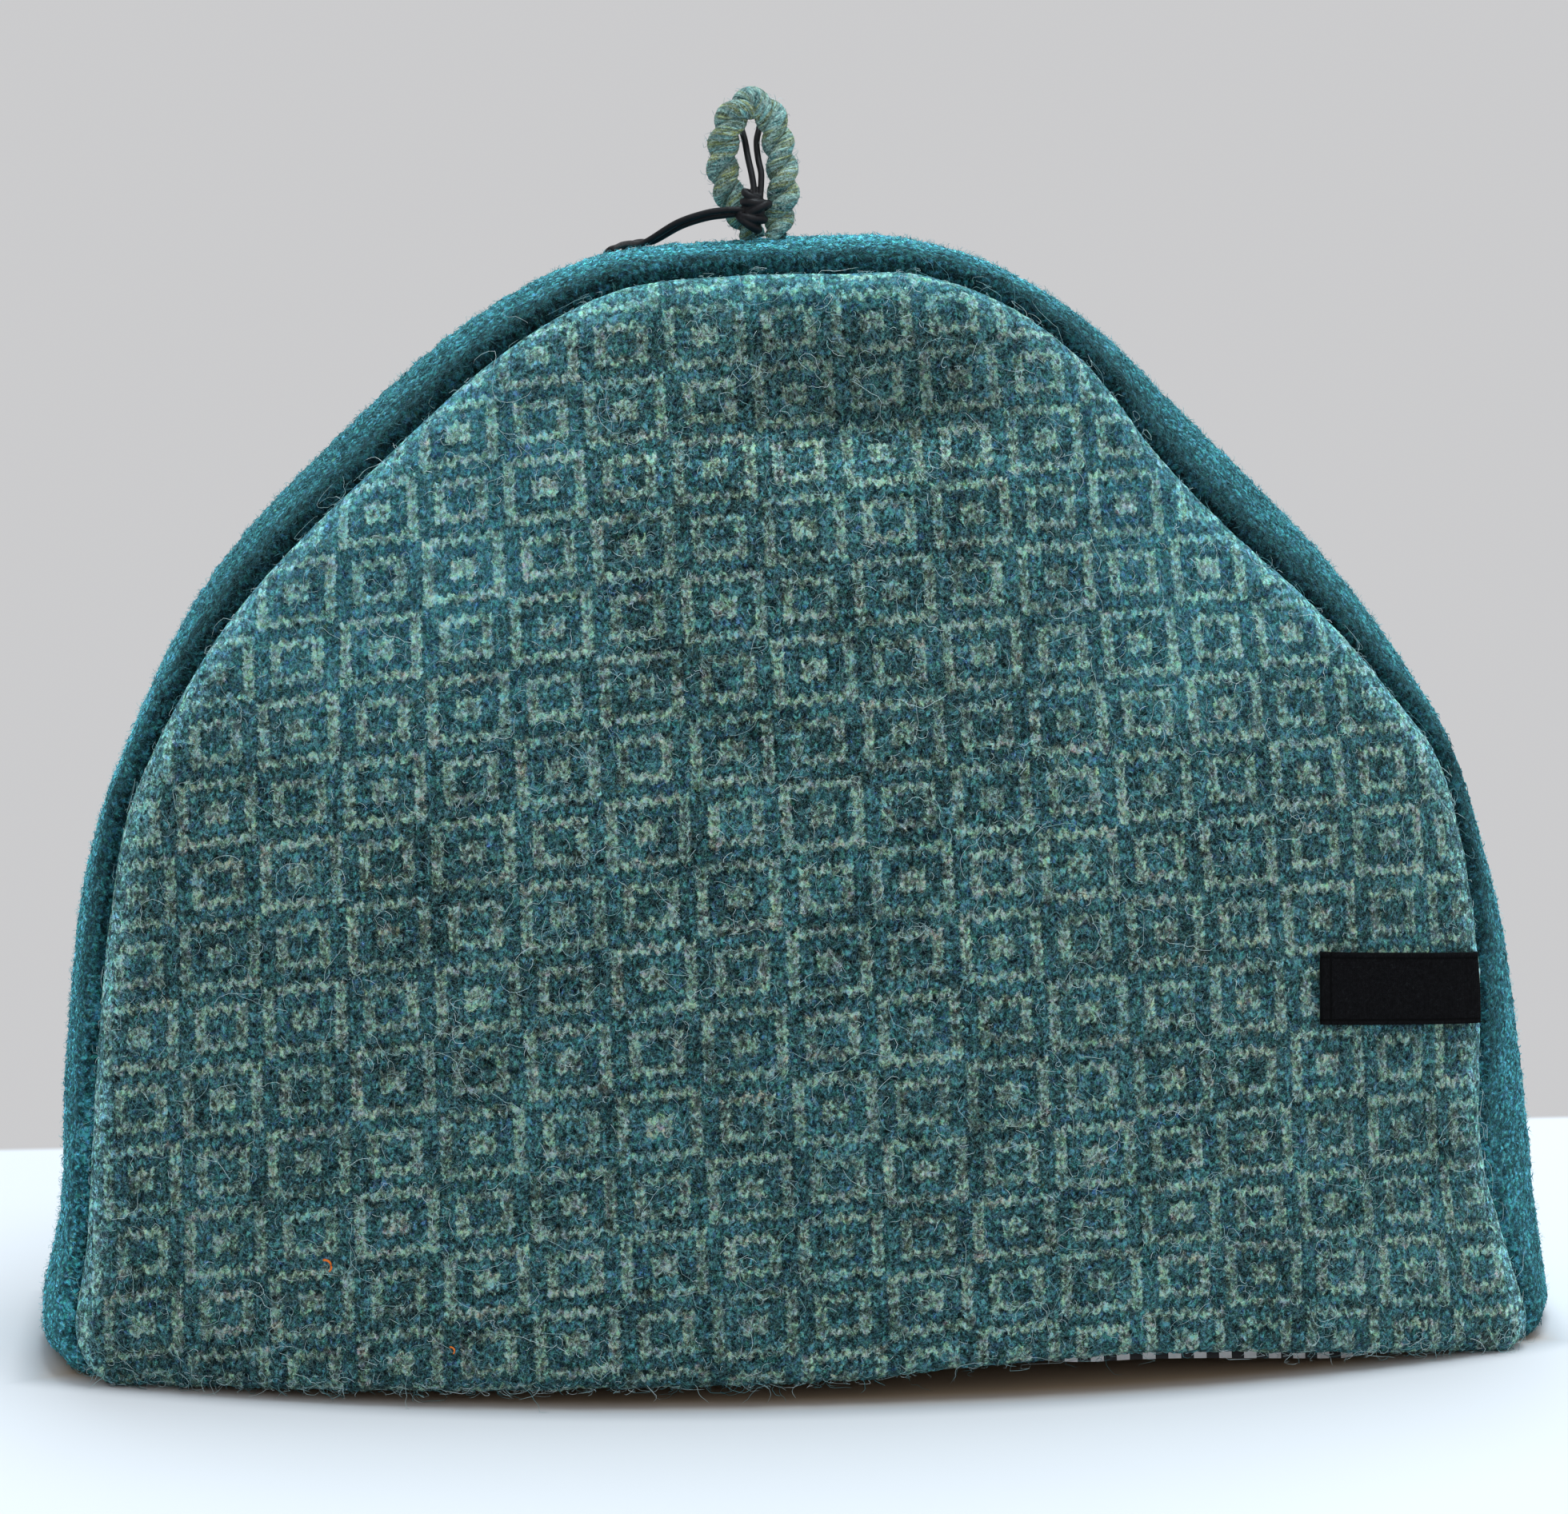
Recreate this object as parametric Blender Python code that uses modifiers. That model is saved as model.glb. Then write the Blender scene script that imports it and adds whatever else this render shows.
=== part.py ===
"""Tea cosy: two puffed Fair Isle panels joined by a plain knitted gusset, with a
gingham lining, a ribbon label, a twisted hanging loop and a waxed tie.

The cosy stands on its hem. X runs along it, the front panel faces -Y, +Z is up.
Sizes are in millimetres and become metres when a mesh is made.

Every sheet is described in sections square to the seam line: r is measured
outward from the seam, w forward (or backward) from the middle plane.
"""
import math

import bmesh
import bpy
import numpy as np
from mathutils import Matrix, Vector

MM = 0.001

# ---- driving dimensions, mm -------------------------------------------------
CLOTH = 3.0             # felted knit
HEM_THICK = 7.0         # knit turned up on itself over a little wadding
HEM_TURN_UP = 20.0      # height of the turned-up hem
HEM_ROUND = 5.0         # radius of the hem's outer edge
LINING = 1.0
FIT_GAP = 0.3           # between pieces that touch
FOOT_HALF_DEPTH = 34.0  # seam to middle plane at the hem
TOP_HALF_DEPTH = 28.0   # the same at the apex
SEAM_ALLOWANCE = 4.5    # flange turned in at the seam
PANEL_ROLL = 5.5        # radius of the panel's rolled edge at the seam
GUSSET_ROLL = 3.6       # radius of the gusset's rolled edge at the seam
PANEL_SLOPE = 24.0      # degrees the panel leans in where its rolled edge ends
SEAM_ANGLE = 45.0       # degrees between the seam allowance and the outline's normal
PUFF = 30.0             # how far the panel swells beyond its rolled edge
PUFF_POWER = 2.2
PUFF_CENTRE = (0.0, 70.0)
LINING_DEPTH = 7.5      # lining's face behind the knit's face
LINING_CORNER = (-6.3, 5.2)   # lining's seam: r, and depth behind the knit's seam
LINING_SHORT = 2.5      # lining's edge above the knit's hem

# Seam line of the front panel, left foot to right foot: x, z, and how far the
# gusset's crest stands outside it.
OUTLINE = np.array([
    # x,    z,  crest
    (-158.0, 0.0, 15.5),
    (-162.0, 12.0, 11.0),
    (-159.0, 33.0, 9.5),
    (-156.5, 66.0, 10.0),
    (-152.5, 104.0, 9.5),
    (-145.5, 134.0, 7.0),
    (-123.5, 171.5, 9.0),
    (-88.0, 207.0, 10.0),
    (-64.0, 227.5, 9.2),
    (-41.0, 239.5, 7.8),
    (-15.0, 242.5, 7.4),
    (8.0, 242.8, 8.3),
    (24.0, 242.6, 8.0),
    (42.0, 236.5, 8.6),
    (60.5, 223.0, 10.5),
    (76.0, 203.5, 14.0),
    (93.0, 186.0, 14.5),
    (111.5, 169.5, 13.0),
    (129.0, 150.0, 11.0),
    (141.5, 131.0, 9.5),
    (149.5, 92.0, 14.5),
    (151.0, 50.0, 20.0),
    (156.5, 27.0, 17.0),
    (162.5, 8.0, 14.0),
    (161.0, 0.0, 15.5),
])

# The outline's continuation below the hem, only used to shape the puff.
BELOW_HEM = [(150.0, -60.0), (105.0, -140.0), (0.0, -175.0), (-105.0, -140.0), (-150.0, -60.0)]

# The front hem's lift off the table.
FRONT_LIFT = np.array([
    # x,   lift
    (-156.0, 0.0),
    (-146.0, 0.3),
    (-105.0, 2.0),
    (-50.0, 3.6),
    (0.0, 4.4),
    (30.0, 6.6),
    (60.0, 7.8),
    (85.0, 7.0),
    (120.0, 3.6),
    (146.0, 0.5),
    (156.0, 0.0),
])
LIFT_FADE = 70.0        # height over which the lift dies out

# Hollows in the panels: x, z, depth, half width, half height.
FRONT_DENTS = [(6.0, 221.0, 3.5, 10.0, 24.0), (-60.0, 60.0, 1.5, 40.0, 30.0), (95.0, 120.0, 1.5, 30.0, 40.0)]
BACK_DENTS = [(-20.0, 205.0, 2.5, 16.0, 26.0), (60.0, 70.0, 2.0, 40.0, 30.0)]

HEM_LEVELS = [0.0, 0.67, 2.5, 5.0, 12.0, 19.0, 21.0]
WALL_LEVELS = [34.0, 52.0, 74.0, 98.0, 122.0, 145.0, 166.0, 185.0, 203.0, 219.0, 231.0]
COLUMNS = 18

LABEL_LEFT = 111.0      # x of the label's free end; the other is sewn into the seam
LABEL_HEIGHT = 88.2     # middle of its free end
LABEL_FALL = 3.4        # how much lower its sewn end is
LABEL_WIDTH = 16.6
LABEL_THICK = 1.0

LOOP_STRAND = 2.05      # radius of each of the cord's two strands
LOOP_OFFSET = 1.65      # strand's centre from the cord's centre
LOOP_PITCH = 11.5       # length of one full turn of the twist
LOOP_FOOT = 0.82        # how far the cord is drawn in where it is sewn down
# Hanging loop, from its rear foot up, over and down to its front foot: x, y, and
# z above the gusset under the feet.
LOOP_PATH = [
    (-9.3, 3.4, 0.5),
    (-10.2, 3.1, 3.3),
    (-14.2, 2.2, 8.9),
    (-16.2, 1.2, 15.2),
    (-16.1, 0.6, 21.2),
    (-14.5, 0.2, 26.6),
    (-11.5, 0.0, 29.9),
    (-8.3, 0.0, 30.1),
    (-5.3, -0.2, 26.9),
    (-3.8, -0.7, 21.2),
    (-2.9, -1.5, 14.6),
    (-3.0, -2.4, 8.4),
    (-4.3, -3.1, 3.3),
    (-4.6, -3.4, 0.5),
]

TIE_RADIUS = 0.72
KNOT_CENTRE = (-10.0, -7.4, 257.0)
# The tie's noose, from the knot up behind the loop's crown and down again: x, y, z.
NOOSE_PATH = [
    (-9.8, -5.4, 262.9),
    (-10.2, -4.2, 265.6),
    (-10.8, -2.0, 269.0),
    (-11.2, 1.6, 272.6),
    (-11.9, 5.2, 276.2),
    (-11.9, 6.0, 279.2),
    (-10.2, 6.2, 281.2),
    (-8.3, 6.0, 279.8),
    (-7.5, 5.3, 276.4),
    (-8.5, 2.0, 272.4),
    (-8.5, -1.8, 268.8),
    (-8.0, -4.2, 265.6),
    (-8.1, -5.4, 262.9),
]
# Its two free ends: in the air from the knot (x, y, z), over the gusset (x, y),
# and down the back panel (x, z).
END_A_FREE = [(-15.7, -8.5, 257.5), (-20.5, -7.6, 256.8), (-27.0, -5.2, 254.5)]
END_A_OVER = [(-34.0, -0.6), (-36.8, 7.0), (-38.2, 15.0), (-39.0, 23.0)]
END_A_DOWN = [(-40.8, 230.0), (-42.0, 222.0), (-44.0, 211.0), (-46.0, 200.0), (-47.0, 189.0)]
END_B_FREE = [(-15.9, -7.0, 256.3), (-20.5, -6.2, 255.6), (-26.0, -3.9, 253.7)]
END_B_OVER = [(-31.8, 2.0), (-34.2, 9.4), (-35.2, 17.0), (-35.6, 23.5)]
END_B_DOWN = [(-35.8, 231.0), (-35.2, 223.0), (-33.6, 212.0), (-32.0, 201.0), (-31.0, 190.0), (-30.5, 180.0)]

KNIT_TEAL = (0.045, 0.165, 0.19)
KNIT_SAGE = (0.15, 0.24, 0.22)
GINGHAM_GREY = (0.35, 0.35, 0.36)
BLACK = (0.012, 0.012, 0.014)
LOOP_SAGE = (0.20, 0.38, 0.34)


# ---- curves -----------------------------------------------------------------
def smooth_through(rows, steps=24, closed=False):
    """Catmull-Rom curve through the rows of a table, with `steps` points a span."""
    rows = np.asarray(rows, float)
    if closed:
        padded = np.vstack([rows[-1], rows, rows[0], rows[1]])
    else:
        padded = np.vstack([2 * rows[0] - rows[1], rows, 2 * rows[-1] - rows[-2]])
    spans = len(padded) - 3
    t = np.arange(steps) / steps
    points = []
    for k in range(spans):
        a, b, c, d = padded[k:k + 4]
        cubic = (2 * b + np.outer(t, c - a) + np.outer(t ** 2, 2 * a - 5 * b + 4 * c - d)
                 + np.outer(t ** 3, 3 * b - a - 3 * c + d))
        points.append(cubic / 2)
    if not closed:
        points.append(rows[-1:])
    return np.vstack(points)


def smoothstep(x, low, high):
    t = np.clip((np.asarray(x, float) - low) / (high - low), 0.0, 1.0)
    return t * t * (3 - 2 * t)


ARCH = smooth_through(OUTLINE)
ARCH_T = np.arange(len(ARCH), dtype=float)
SUMMIT = int(np.argmax(ARCH[:, 1]))


def arch_normals():
    """Outward normals of the seam line, level near the hem so that the hem is flat."""
    tangent = np.gradient(ARCH[:, :2], axis=0)
    normal = np.stack([-tangent[:, 1], tangent[:, 0]], 1)
    normal[:, 1] *= smoothstep(ARCH[:, 1], 0.0, 60.0)
    return normal / np.linalg.norm(normal, axis=1)[:, None]


ARCH_NORMAL = arch_normals()


def half_depth(z):
    return FOOT_HALF_DEPTH - (FOOT_HALF_DEPTH - TOP_HALF_DEPTH) * (np.clip(z, 0, 245) / 245.0) ** 2


class Stations:
    """Points along the seam line: up the left side, over the top, down the right."""

    def __init__(self, levels, columns):
        levels = np.asarray(levels, float)
        left_t = np.interp(levels, ARCH[:SUMMIT, 1], ARCH_T[:SUMMIT])
        right_t = np.interp(levels, ARCH[:SUMMIT:-1, 1], ARCH_T[:SUMMIT:-1])
        over_t = np.linspace(left_t[-1], right_t[-1], columns + 1)[1:-1]
        t = np.concatenate([left_t, over_t, right_t[::-1]])
        self.levels = len(levels)
        self.columns = columns
        self.x = np.interp(t, ARCH_T, ARCH[:, 0])
        self.z = np.interp(t, ARCH_T, ARCH[:, 1])
        self.crest = np.interp(t, ARCH_T, ARCH[:, 2])
        self.normal = np.stack([np.interp(t, ARCH_T, ARCH_NORMAL[:, k]) for k in (0, 1)], 1)
        self.normal /= np.linalg.norm(self.normal, axis=1)[:, None]
        self.depth = half_depth(self.z)

    def place(self, r, w):
        """Points at r outside the seam line and w from the middle plane (+w is the front)."""
        return np.stack([self.x + self.normal[:, 0] * r, -w + 0 * self.x, self.z + self.normal[:, 1] * r], 1)


# ---- the panels' puff -------------------------------------------------------
def roll(radius, start, angles):
    """Points (r, w) along an arc whose direction turns from start to each angle, degrees."""
    a0 = math.radians(start)
    a = np.radians(angles)
    sign = 1.0 if angles[-1] >= start else -1.0
    return np.stack([radius * sign * (np.sin(a) - math.sin(a0)),
                     -radius * sign * (np.cos(a) - math.cos(a0))], 1)


PANEL_EDGE = roll(PANEL_ROLL, SEAM_ANGLE, [180.0 - PANEL_SLOPE])[0]


def puff_radius():
    """Distance from the puff's centre to the panel's edge, by direction."""
    edge = ARCH[:, :2] + ARCH_NORMAL * PANEL_EDGE[0]
    oval = smooth_through(np.vstack([edge[::24], BELOW_HEM]), steps=12, closed=True)
    away = oval - PUFF_CENTRE
    angle = np.arctan2(away[:, 1], away[:, 0])
    order = np.argsort(angle)
    return angle[order], np.linalg.norm(away, axis=1)[order]


PUFF_ANGLE, PUFF_REACH = puff_radius()


def edge_share(x, z):
    """0 at the puff's centre, 1 at the panel's edge."""
    dx, dz = x - PUFF_CENTRE[0], z - PUFF_CENTRE[1]
    reach = np.interp(np.arctan2(dz, dx), PUFF_ANGLE, PUFF_REACH, period=2 * math.pi)
    return np.hypot(dx, dz) / reach


def panel_face(x, z, dents):
    """How far a panel's face stands from the middle plane."""
    share = np.clip(edge_share(x, z), 0.0, 1.0)
    w = half_depth(z) + PANEL_EDGE[1] + PUFF * (1 - share ** PUFF_POWER)
    for cx, cz, depth, wide, tall in dents:
        hollow = np.exp(-((x - cx) / wide) ** 2 - ((z - cz) / tall) ** 2)
        w = w - depth * hollow * (1 - share ** 4)
    return w


# ---- sheets -----------------------------------------------------------------
class Sheet:
    """An open surface: points, quads, and for each point its height and hem share."""

    def __init__(self):
        self.points = []
        self.quads = []
        self.hem_share = []

    def add(self, point, hem_share=0.0):
        self.points.append(np.asarray(point, float))
        self.hem_share.append(hem_share)
        return len(self.points) - 1

    def normals(self, outward):
        """Vertex normals turned to the side of `outward(points)`, level near the hem."""
        points = np.array(self.points)
        normal = np.zeros_like(points)
        for quad in self.quads:
            a, b, c, d = points[quad]
            normal[quad] += np.cross(c - a, d - b)
        if np.sum(normal * outward(points)) < 0:
            normal = -normal
            self.quads = [quad[::-1] for quad in self.quads]
        normal[:, 2] *= smoothstep(points[:, 2], HEM_TURN_UP, 60.0)
        return normal / np.linalg.norm(normal, axis=1)[:, None]


def add_patch(sheet, rings, stations, interior, hem_share):
    """Quads of a panel: rings of points along the arch, then chords across it."""
    count = len(stations.x)
    ids = [[sheet.add(p) for p in ring] for ring in rings]
    for outer, inner in zip(ids[:-1], ids[1:]):
        for k in range(count - 1):
            sheet.quads.append([inner[k], inner[k + 1], outer[k + 1], outer[k]])
    edge = ids[-1]
    top = stations.levels - 1
    arch_row = edge[top:top + stations.columns + 1]
    arch_points = np.array([sheet.points[k] for k in arch_row])
    share = np.arange(stations.columns + 1)[:, None] / stations.columns
    arch_bow = arch_points - (arch_points[0] + share * (arch_points[-1] - arch_points[0]))
    rows = []
    for level in range(top):
        left, right = edge[level], edge[-1 - level]
        start, end = sheet.points[left], sheet.points[right]
        chord = start + share * (end - start) + arch_bow * (level / top) ** 4
        row = [left]
        for point in chord[1:-1]:
            x, z = point[0], point[2]
            from_edge = min(x - start[0], end[0] - x)
            row.append(sheet.add(interior(x, z), hem_share(from_edge)))
        row.append(right)
        rows.append(row)
    rows.append(arch_row)
    for below, above in zip(rows[:-1], rows[1:]):
        for k in range(stations.columns):
            sheet.quads.append([below[k], below[k + 1], above[k + 1], above[k]])


def panel_sheet(dents):
    """Face of the front panel with its rolled edge and seam allowance."""
    stations = Stations(HEM_LEVELS + WALL_LEVELS, COLUMNS)
    tip = -SEAM_ALLOWANCE * np.array([math.cos(math.radians(SEAM_ANGLE)), math.sin(math.radians(SEAM_ANGLE))])
    arc = roll(PANEL_ROLL, SEAM_ANGLE, np.linspace(SEAM_ANGLE, 180.0 - PANEL_SLOPE, 5))
    section = np.vstack([tip, arc])
    part = FIT_GAP / 2 * math.sin(math.radians(SEAM_ANGLE))
    rings = [stations.place(r - part, stations.depth + w + part) for r, w in section]

    def interior(x, z):
        return (x, -panel_face(x, z, dents), z)

    def hem_share(from_edge):
        return float(smoothstep(from_edge, 1.0, 12.0))

    sheet = Sheet()
    add_patch(sheet, rings, stations, interior, hem_share)
    return sheet


def gusset_section(crest, depth):
    """Half section (r, w) of the gusset from its seam allowance to the crest."""
    tip = -SEAM_ALLOWANCE * np.array([math.cos(math.radians(SEAM_ANGLE)), math.sin(math.radians(SEAM_ANGLE))])
    s, c = math.sin(math.radians(SEAM_ANGLE)), math.cos(math.radians(SEAM_ANGLE))
    rise = crest - GUSSET_ROLL * (s + 1)
    run = depth + GUSSET_ROLL * (1 - c) - GUSSET_ROLL
    turn = 2 * math.degrees(math.atan2(rise, run))
    radius = run / math.sin(math.radians(turn)) + GUSSET_ROLL
    edge = roll(GUSSET_ROLL, SEAM_ANGLE, [SEAM_ANGLE, 8.0, -30.0, turn - 90.0])
    flat = edge[-1] + roll(radius, turn - 90.0, [0.5 * turn - 90.0, -90.0])
    section = np.vstack([tip, edge, flat])
    part = FIT_GAP / 2 * s
    return section + [part, depth - part]


def gusset_sheet():
    """Outer face of the gusset, from the front seam allowance to the back one."""
    stations = Stations(HEM_LEVELS + WALL_LEVELS, COLUMNS)
    sections = np.array([gusset_section(c, d) for c, d in zip(stations.crest, stations.depth)])
    mirrored = sections[:, -2::-1] * [1, -1]
    sections = np.concatenate([sections, mirrored], axis=1)
    sheet = Sheet()
    rows = []
    for j in range(sections.shape[1]):
        r, w = sections[:, j, 0], sections[:, j, 1]
        points = stations.place(r, w)
        share = smoothstep(stations.depth - np.abs(w), 6.0, 14.0)
        rows.append([sheet.add(p, s) for p, s in zip(points, share)])
    for a, b in zip(rows[:-1], rows[1:]):
        for k in range(len(a) - 1):
            sheet.quads.append([a[k], a[k + 1], b[k + 1], b[k]])
    return sheet


def lining_panel_sheet(dents):
    """Outer face of a panel's lining, which turns a rounded corner to its seam."""
    stations = Stations([LINING_SHORT, 12.0, 30.0, 60.0, 95.0, 130.0, 165.0, 197.0, 222.0], 12)
    corner = np.array(LINING_CORNER) * [1, -1]
    bend_r = corner[0] - 6.0
    edge = stations.place(bend_r, 0)
    bend_w = panel_face(edge[:, 0], edge[:, 2], dents) - LINING_DEPTH - 1.0
    rings = []
    for t in (1.0, 0.66, 0.33, 0.0):
        r = (1 - t) ** 2 * bend_r + 2 * t * (1 - t) * corner[0] + t * t * corner[0]
        w = ((1 - t) ** 2 * bend_w + 2 * t * (1 - t) * (bend_w - 1.0)
             + t * t * (stations.depth + corner[1]))
        rings.append(stations.place(r, w))

    def interior(x, z):
        share = float(np.clip(edge_share(x, z), 0, 1))
        behind = LINING_DEPTH + 1.0 * share ** 6
        return (x, -(panel_face(x, z, dents) - behind), z)

    sheet = Sheet()
    add_patch(sheet, rings, stations, interior, lambda from_edge: 0.0)
    return sheet


def lining_gusset_sheet():
    """Outer face of the gusset's lining, a shallow arch between the panels' linings."""
    stations = Stations([LINING_SHORT, 12.0, 30.0, 60.0, 95.0, 130.0, 165.0, 197.0, 222.0], 12)
    foot_r, behind = LINING_CORNER
    across = np.linspace(-1.0, 1.0, 7)
    sheet = Sheet()
    rows = []
    for a in across:
        rise = stations.crest - LINING_DEPTH - foot_r
        r = foot_r + rise * (1 - a * a)
        w = -a * (stations.depth - behind - FIT_GAP)
        rows.append([sheet.add(p) for p in stations.place(r, w)])
    for a, b in zip(rows[:-1], rows[1:]):
        for k in range(len(a) - 1):
            sheet.quads.append([a[k], a[k + 1], b[k + 1], b[k]])
    return sheet


# ---- solids -----------------------------------------------------------------
def front_lift(x, z):
    lift = np.interp(x, *smooth_through(FRONT_LIFT).T)
    return lift * (1 - smoothstep(z, 0.0, LIFT_FADE))


def lining_drop(x, z):
    """Where the lining shows below the lifted front hem."""
    shows = smoothstep(x, 45.0, 62.0) * (1 - smoothstep(x, 118.0, 132.0))
    return (LINING_SHORT + 1.2) * shows * (1 - smoothstep(z, 2.0, 12.0))


def closed_sheet(sheet, outward, thickness, round_edge):
    """Vertices and faces of the sheet given a thickness and a rounded hem."""
    normal = sheet.normals(outward)
    points = np.array(sheet.points)
    radius = np.minimum(round_edge, thickness - 0.4)[:, None]
    height = np.clip(points[:, 2:3] / np.maximum(radius, 1e-6), 0.0, 1.0)
    inset = radius * (1 - np.sqrt(1 - (1 - height) ** 2))
    outer = points - normal * inset
    inner = points - normal * thickness[:, None]
    count = len(points)
    faces = [list(q) for q in sheet.quads] + [[k + count for k in q[::-1]] for q in sheet.quads]
    edges = {(q[k], q[(k + 1) % 4]) for q in sheet.quads for k in range(4)}
    for a, b in sorted(edges):
        if (b, a) not in edges:
            faces.append([b, a, a + count, b + count])
    return np.vstack([outer, inner]), faces


def hem_thickness(sheet):
    z = np.array(sheet.points)[:, 2]
    turned = 1 - smoothstep(z, HEM_TURN_UP - 1, HEM_TURN_UP + 1)
    return CLOTH + (HEM_THICK - CLOTH) * turned * np.array(sheet.hem_share)


def clear_scene():
    for obj in list(bpy.data.objects):
        bpy.data.objects.remove(obj, do_unlink=True)


def make_collection(name):
    collection = bpy.data.collections.new(name)
    bpy.context.scene.collection.children.link(collection)
    return collection


def make_material(name, colour, roughness):
    material = bpy.data.materials.new(name)
    material.use_nodes = True
    shader = material.node_tree.nodes["Principled BSDF"]
    shader.inputs["Base Color"].default_value = (*colour, 1.0)
    shader.inputs["Roughness"].default_value = roughness
    shader.inputs["Metallic"].default_value = 0.0
    return material


def make_object(collection, name, points, faces, material):
    mesh = bpy.data.meshes.new(name)
    mesh.from_pydata([Vector(p) * MM for p in points], [], faces)
    mesh.validate()
    obj = bpy.data.objects.new(name, mesh)
    collection.objects.link(obj)
    mesh.materials.append(material)
    mesh.shade_smooth()
    mesh.set_sharp_from_angle(angle=math.radians(50))
    return obj


def facing_front(points):
    return np.tile([0.0, -1.0, 0.0], (len(points), 1))


def facing_out(points):
    return points * [1, 0, 1] - [0.0, 0.0, PUFF_CENTRE[1]]


def make_cloth(collection):
    knit = make_material("fair_isle_knit", KNIT_SAGE, 0.95)
    plain = make_material("plain_knit", KNIT_TEAL, 0.95)
    gingham = make_material("gingham", GINGHAM_GREY, 0.85)

    for name, dents, side in (("front_panel", FRONT_DENTS, 1), ("back_panel", BACK_DENTS, -1)):
        sheet = panel_sheet(dents)
        points, faces = closed_sheet(sheet, facing_front, hem_thickness(sheet), HEM_ROUND)
        if side == 1:
            points[:, 2] += front_lift(points[:, 0], points[:, 2])
        else:
            points[:, 1] *= -1
            faces = [f[::-1] for f in faces]
        make_object(collection, name, points, faces, knit)

    sheet = gusset_sheet()
    points, faces = closed_sheet(sheet, facing_out, hem_thickness(sheet), HEM_ROUND)
    make_object(collection, "gusset", points, faces, plain)

    for name, dents, side in (("lining_front", FRONT_DENTS, 1), ("lining_back", BACK_DENTS, -1)):
        sheet = lining_panel_sheet(dents)
        thickness = np.full(len(sheet.points), LINING)
        points, faces = closed_sheet(sheet, facing_front, thickness, 0.0)
        if side == 1:
            lift = front_lift(points[:, 0], points[:, 2]) - lining_drop(points[:, 0], points[:, 2])
            points[:, 2] += lift
        else:
            points[:, 1] *= -1
            faces = [f[::-1] for f in faces]
        make_object(collection, name, points, faces, gingham)

    sheet = lining_gusset_sheet()
    thickness = np.full(len(sheet.points), LINING)
    points, faces = closed_sheet(sheet, facing_out, thickness, 0.0)
    make_object(collection, "lining_gusset", points, faces, gingham)


# ---- trimmings --------------------------------------------------------------
def label_sheet():
    """Outer face of the label: along the panel's face, then onto its rolled edge."""
    sheet = Sheet()
    rows = []
    for v in (-0.5, -0.17, 0.17, 0.5):
        row = []
        for share in np.linspace(0.0, 1.0, 6):
            z = LABEL_HEIGHT - LABEL_FALL * share + v * LABEL_WIDTH
            edge = Stations([z], 1).place(PANEL_EDGE[0], 0)[-1]
            x = LABEL_LEFT + share * (edge[0] - LABEL_LEFT)
            row.append(sheet.add((x, -panel_face(x, edge[2] * share + z * (1 - share), FRONT_DENTS), z)))
        z = LABEL_HEIGHT - LABEL_FALL + v * LABEL_WIDTH
        for r, w in roll(PANEL_ROLL, SEAM_ANGLE, [142.0, 128.0]):
            station = Stations([z], 1)
            row.append(sheet.add(station.place(r, station.depth + w)[-1]))
        rows.append(row)
    for a, b in zip(rows[:-1], rows[1:]):
        for k in range(len(a) - 1):
            sheet.quads.append([a[k], a[k + 1], b[k + 1], b[k]])
    points = np.array(sheet.points)
    proud = points + sheet.normals(facing_front) * (FIT_GAP + LABEL_THICK)
    sheet.points = list(proud)
    return sheet


def make_label(collection):
    sheet = label_sheet()
    points, faces = closed_sheet(sheet, facing_front, np.full(len(sheet.points), LABEL_THICK), 0.0)
    make_object(collection, "label", points, faces, make_material("black_ribbon", BLACK, 0.7))


def make_loop(collection):
    """The hanging loop: a two-strand section turned along its path."""
    route = np.array(LOOP_PATH)
    route[:, 2] += gusset_top(-7.0, 0.0)
    path = smooth_through(route, steps=4)
    tangent = np.gradient(path, axis=0)
    tangent[0] = (0, 0, 1)
    tangent[-1] = (0, 0, -1)
    tangent /= np.linalg.norm(tangent, axis=1)[:, None]
    length = np.concatenate([[0.0], np.cumsum(np.linalg.norm(np.diff(path, axis=0), axis=1))])
    side = np.cross(tangent, [0.0, 1.0, 0.0])
    side /= np.linalg.norm(side, axis=1)[:, None]
    up = np.cross(side, tangent)
    around = np.radians(np.arange(0, 360, 30))
    reach = (LOOP_OFFSET * np.abs(np.cos(around))
             + np.sqrt(LOOP_STRAND ** 2 - (LOOP_OFFSET * np.sin(around)) ** 2))
    from_foot = np.minimum(length, length[-1] - length)
    scale = LOOP_FOOT + (1 - LOOP_FOOT) * smoothstep(from_foot, 0.0, 7.0)
    points, faces = [], []
    count = len(around)
    for k, centre in enumerate(path):
        angle = around - 2 * math.pi * length[k] / LOOP_PITCH
        spread = np.outer(reach * np.cos(angle), side[k]) + np.outer(reach * np.sin(angle), up[k])
        points.extend(centre + scale[k] * spread)
        if k:
            base = (k - 1) * count
            for j in range(count):
                n = (j + 1) % count
                faces.append([base + j, base + n, base + count + n, base + count + j])
    faces.append(list(range(count))[::-1])
    faces.append([(len(path) - 1) * count + j for j in range(count)])
    loop = make_object(collection, "hanging_loop", points, faces, make_material("loop_yarn", LOOP_SAGE, 0.9))
    fix = bmesh.new()
    fix.from_mesh(loop.data)
    bmesh.ops.recalc_face_normals(fix, faces=fix.faces)
    fix.to_mesh(loop.data)
    fix.free()


def gusset_top(x, y):
    """Height of the gusset's outer face near its crest."""
    near = slice(SUMMIT - 200, SUMMIT + 120)
    seam, normal = ARCH[near], ARCH_NORMAL[near]
    reach = []
    for row in seam:
        section = gusset_section(row[2], half_depth(row[1]))[:3:-1]
        reach.append(np.interp(abs(y), section[:, 1], section[:, 0]))
    reach = np.array(reach)
    return float(np.interp(x, seam[:, 0] + normal[:, 0] * reach, seam[:, 1] + normal[:, 1] * reach))


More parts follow.
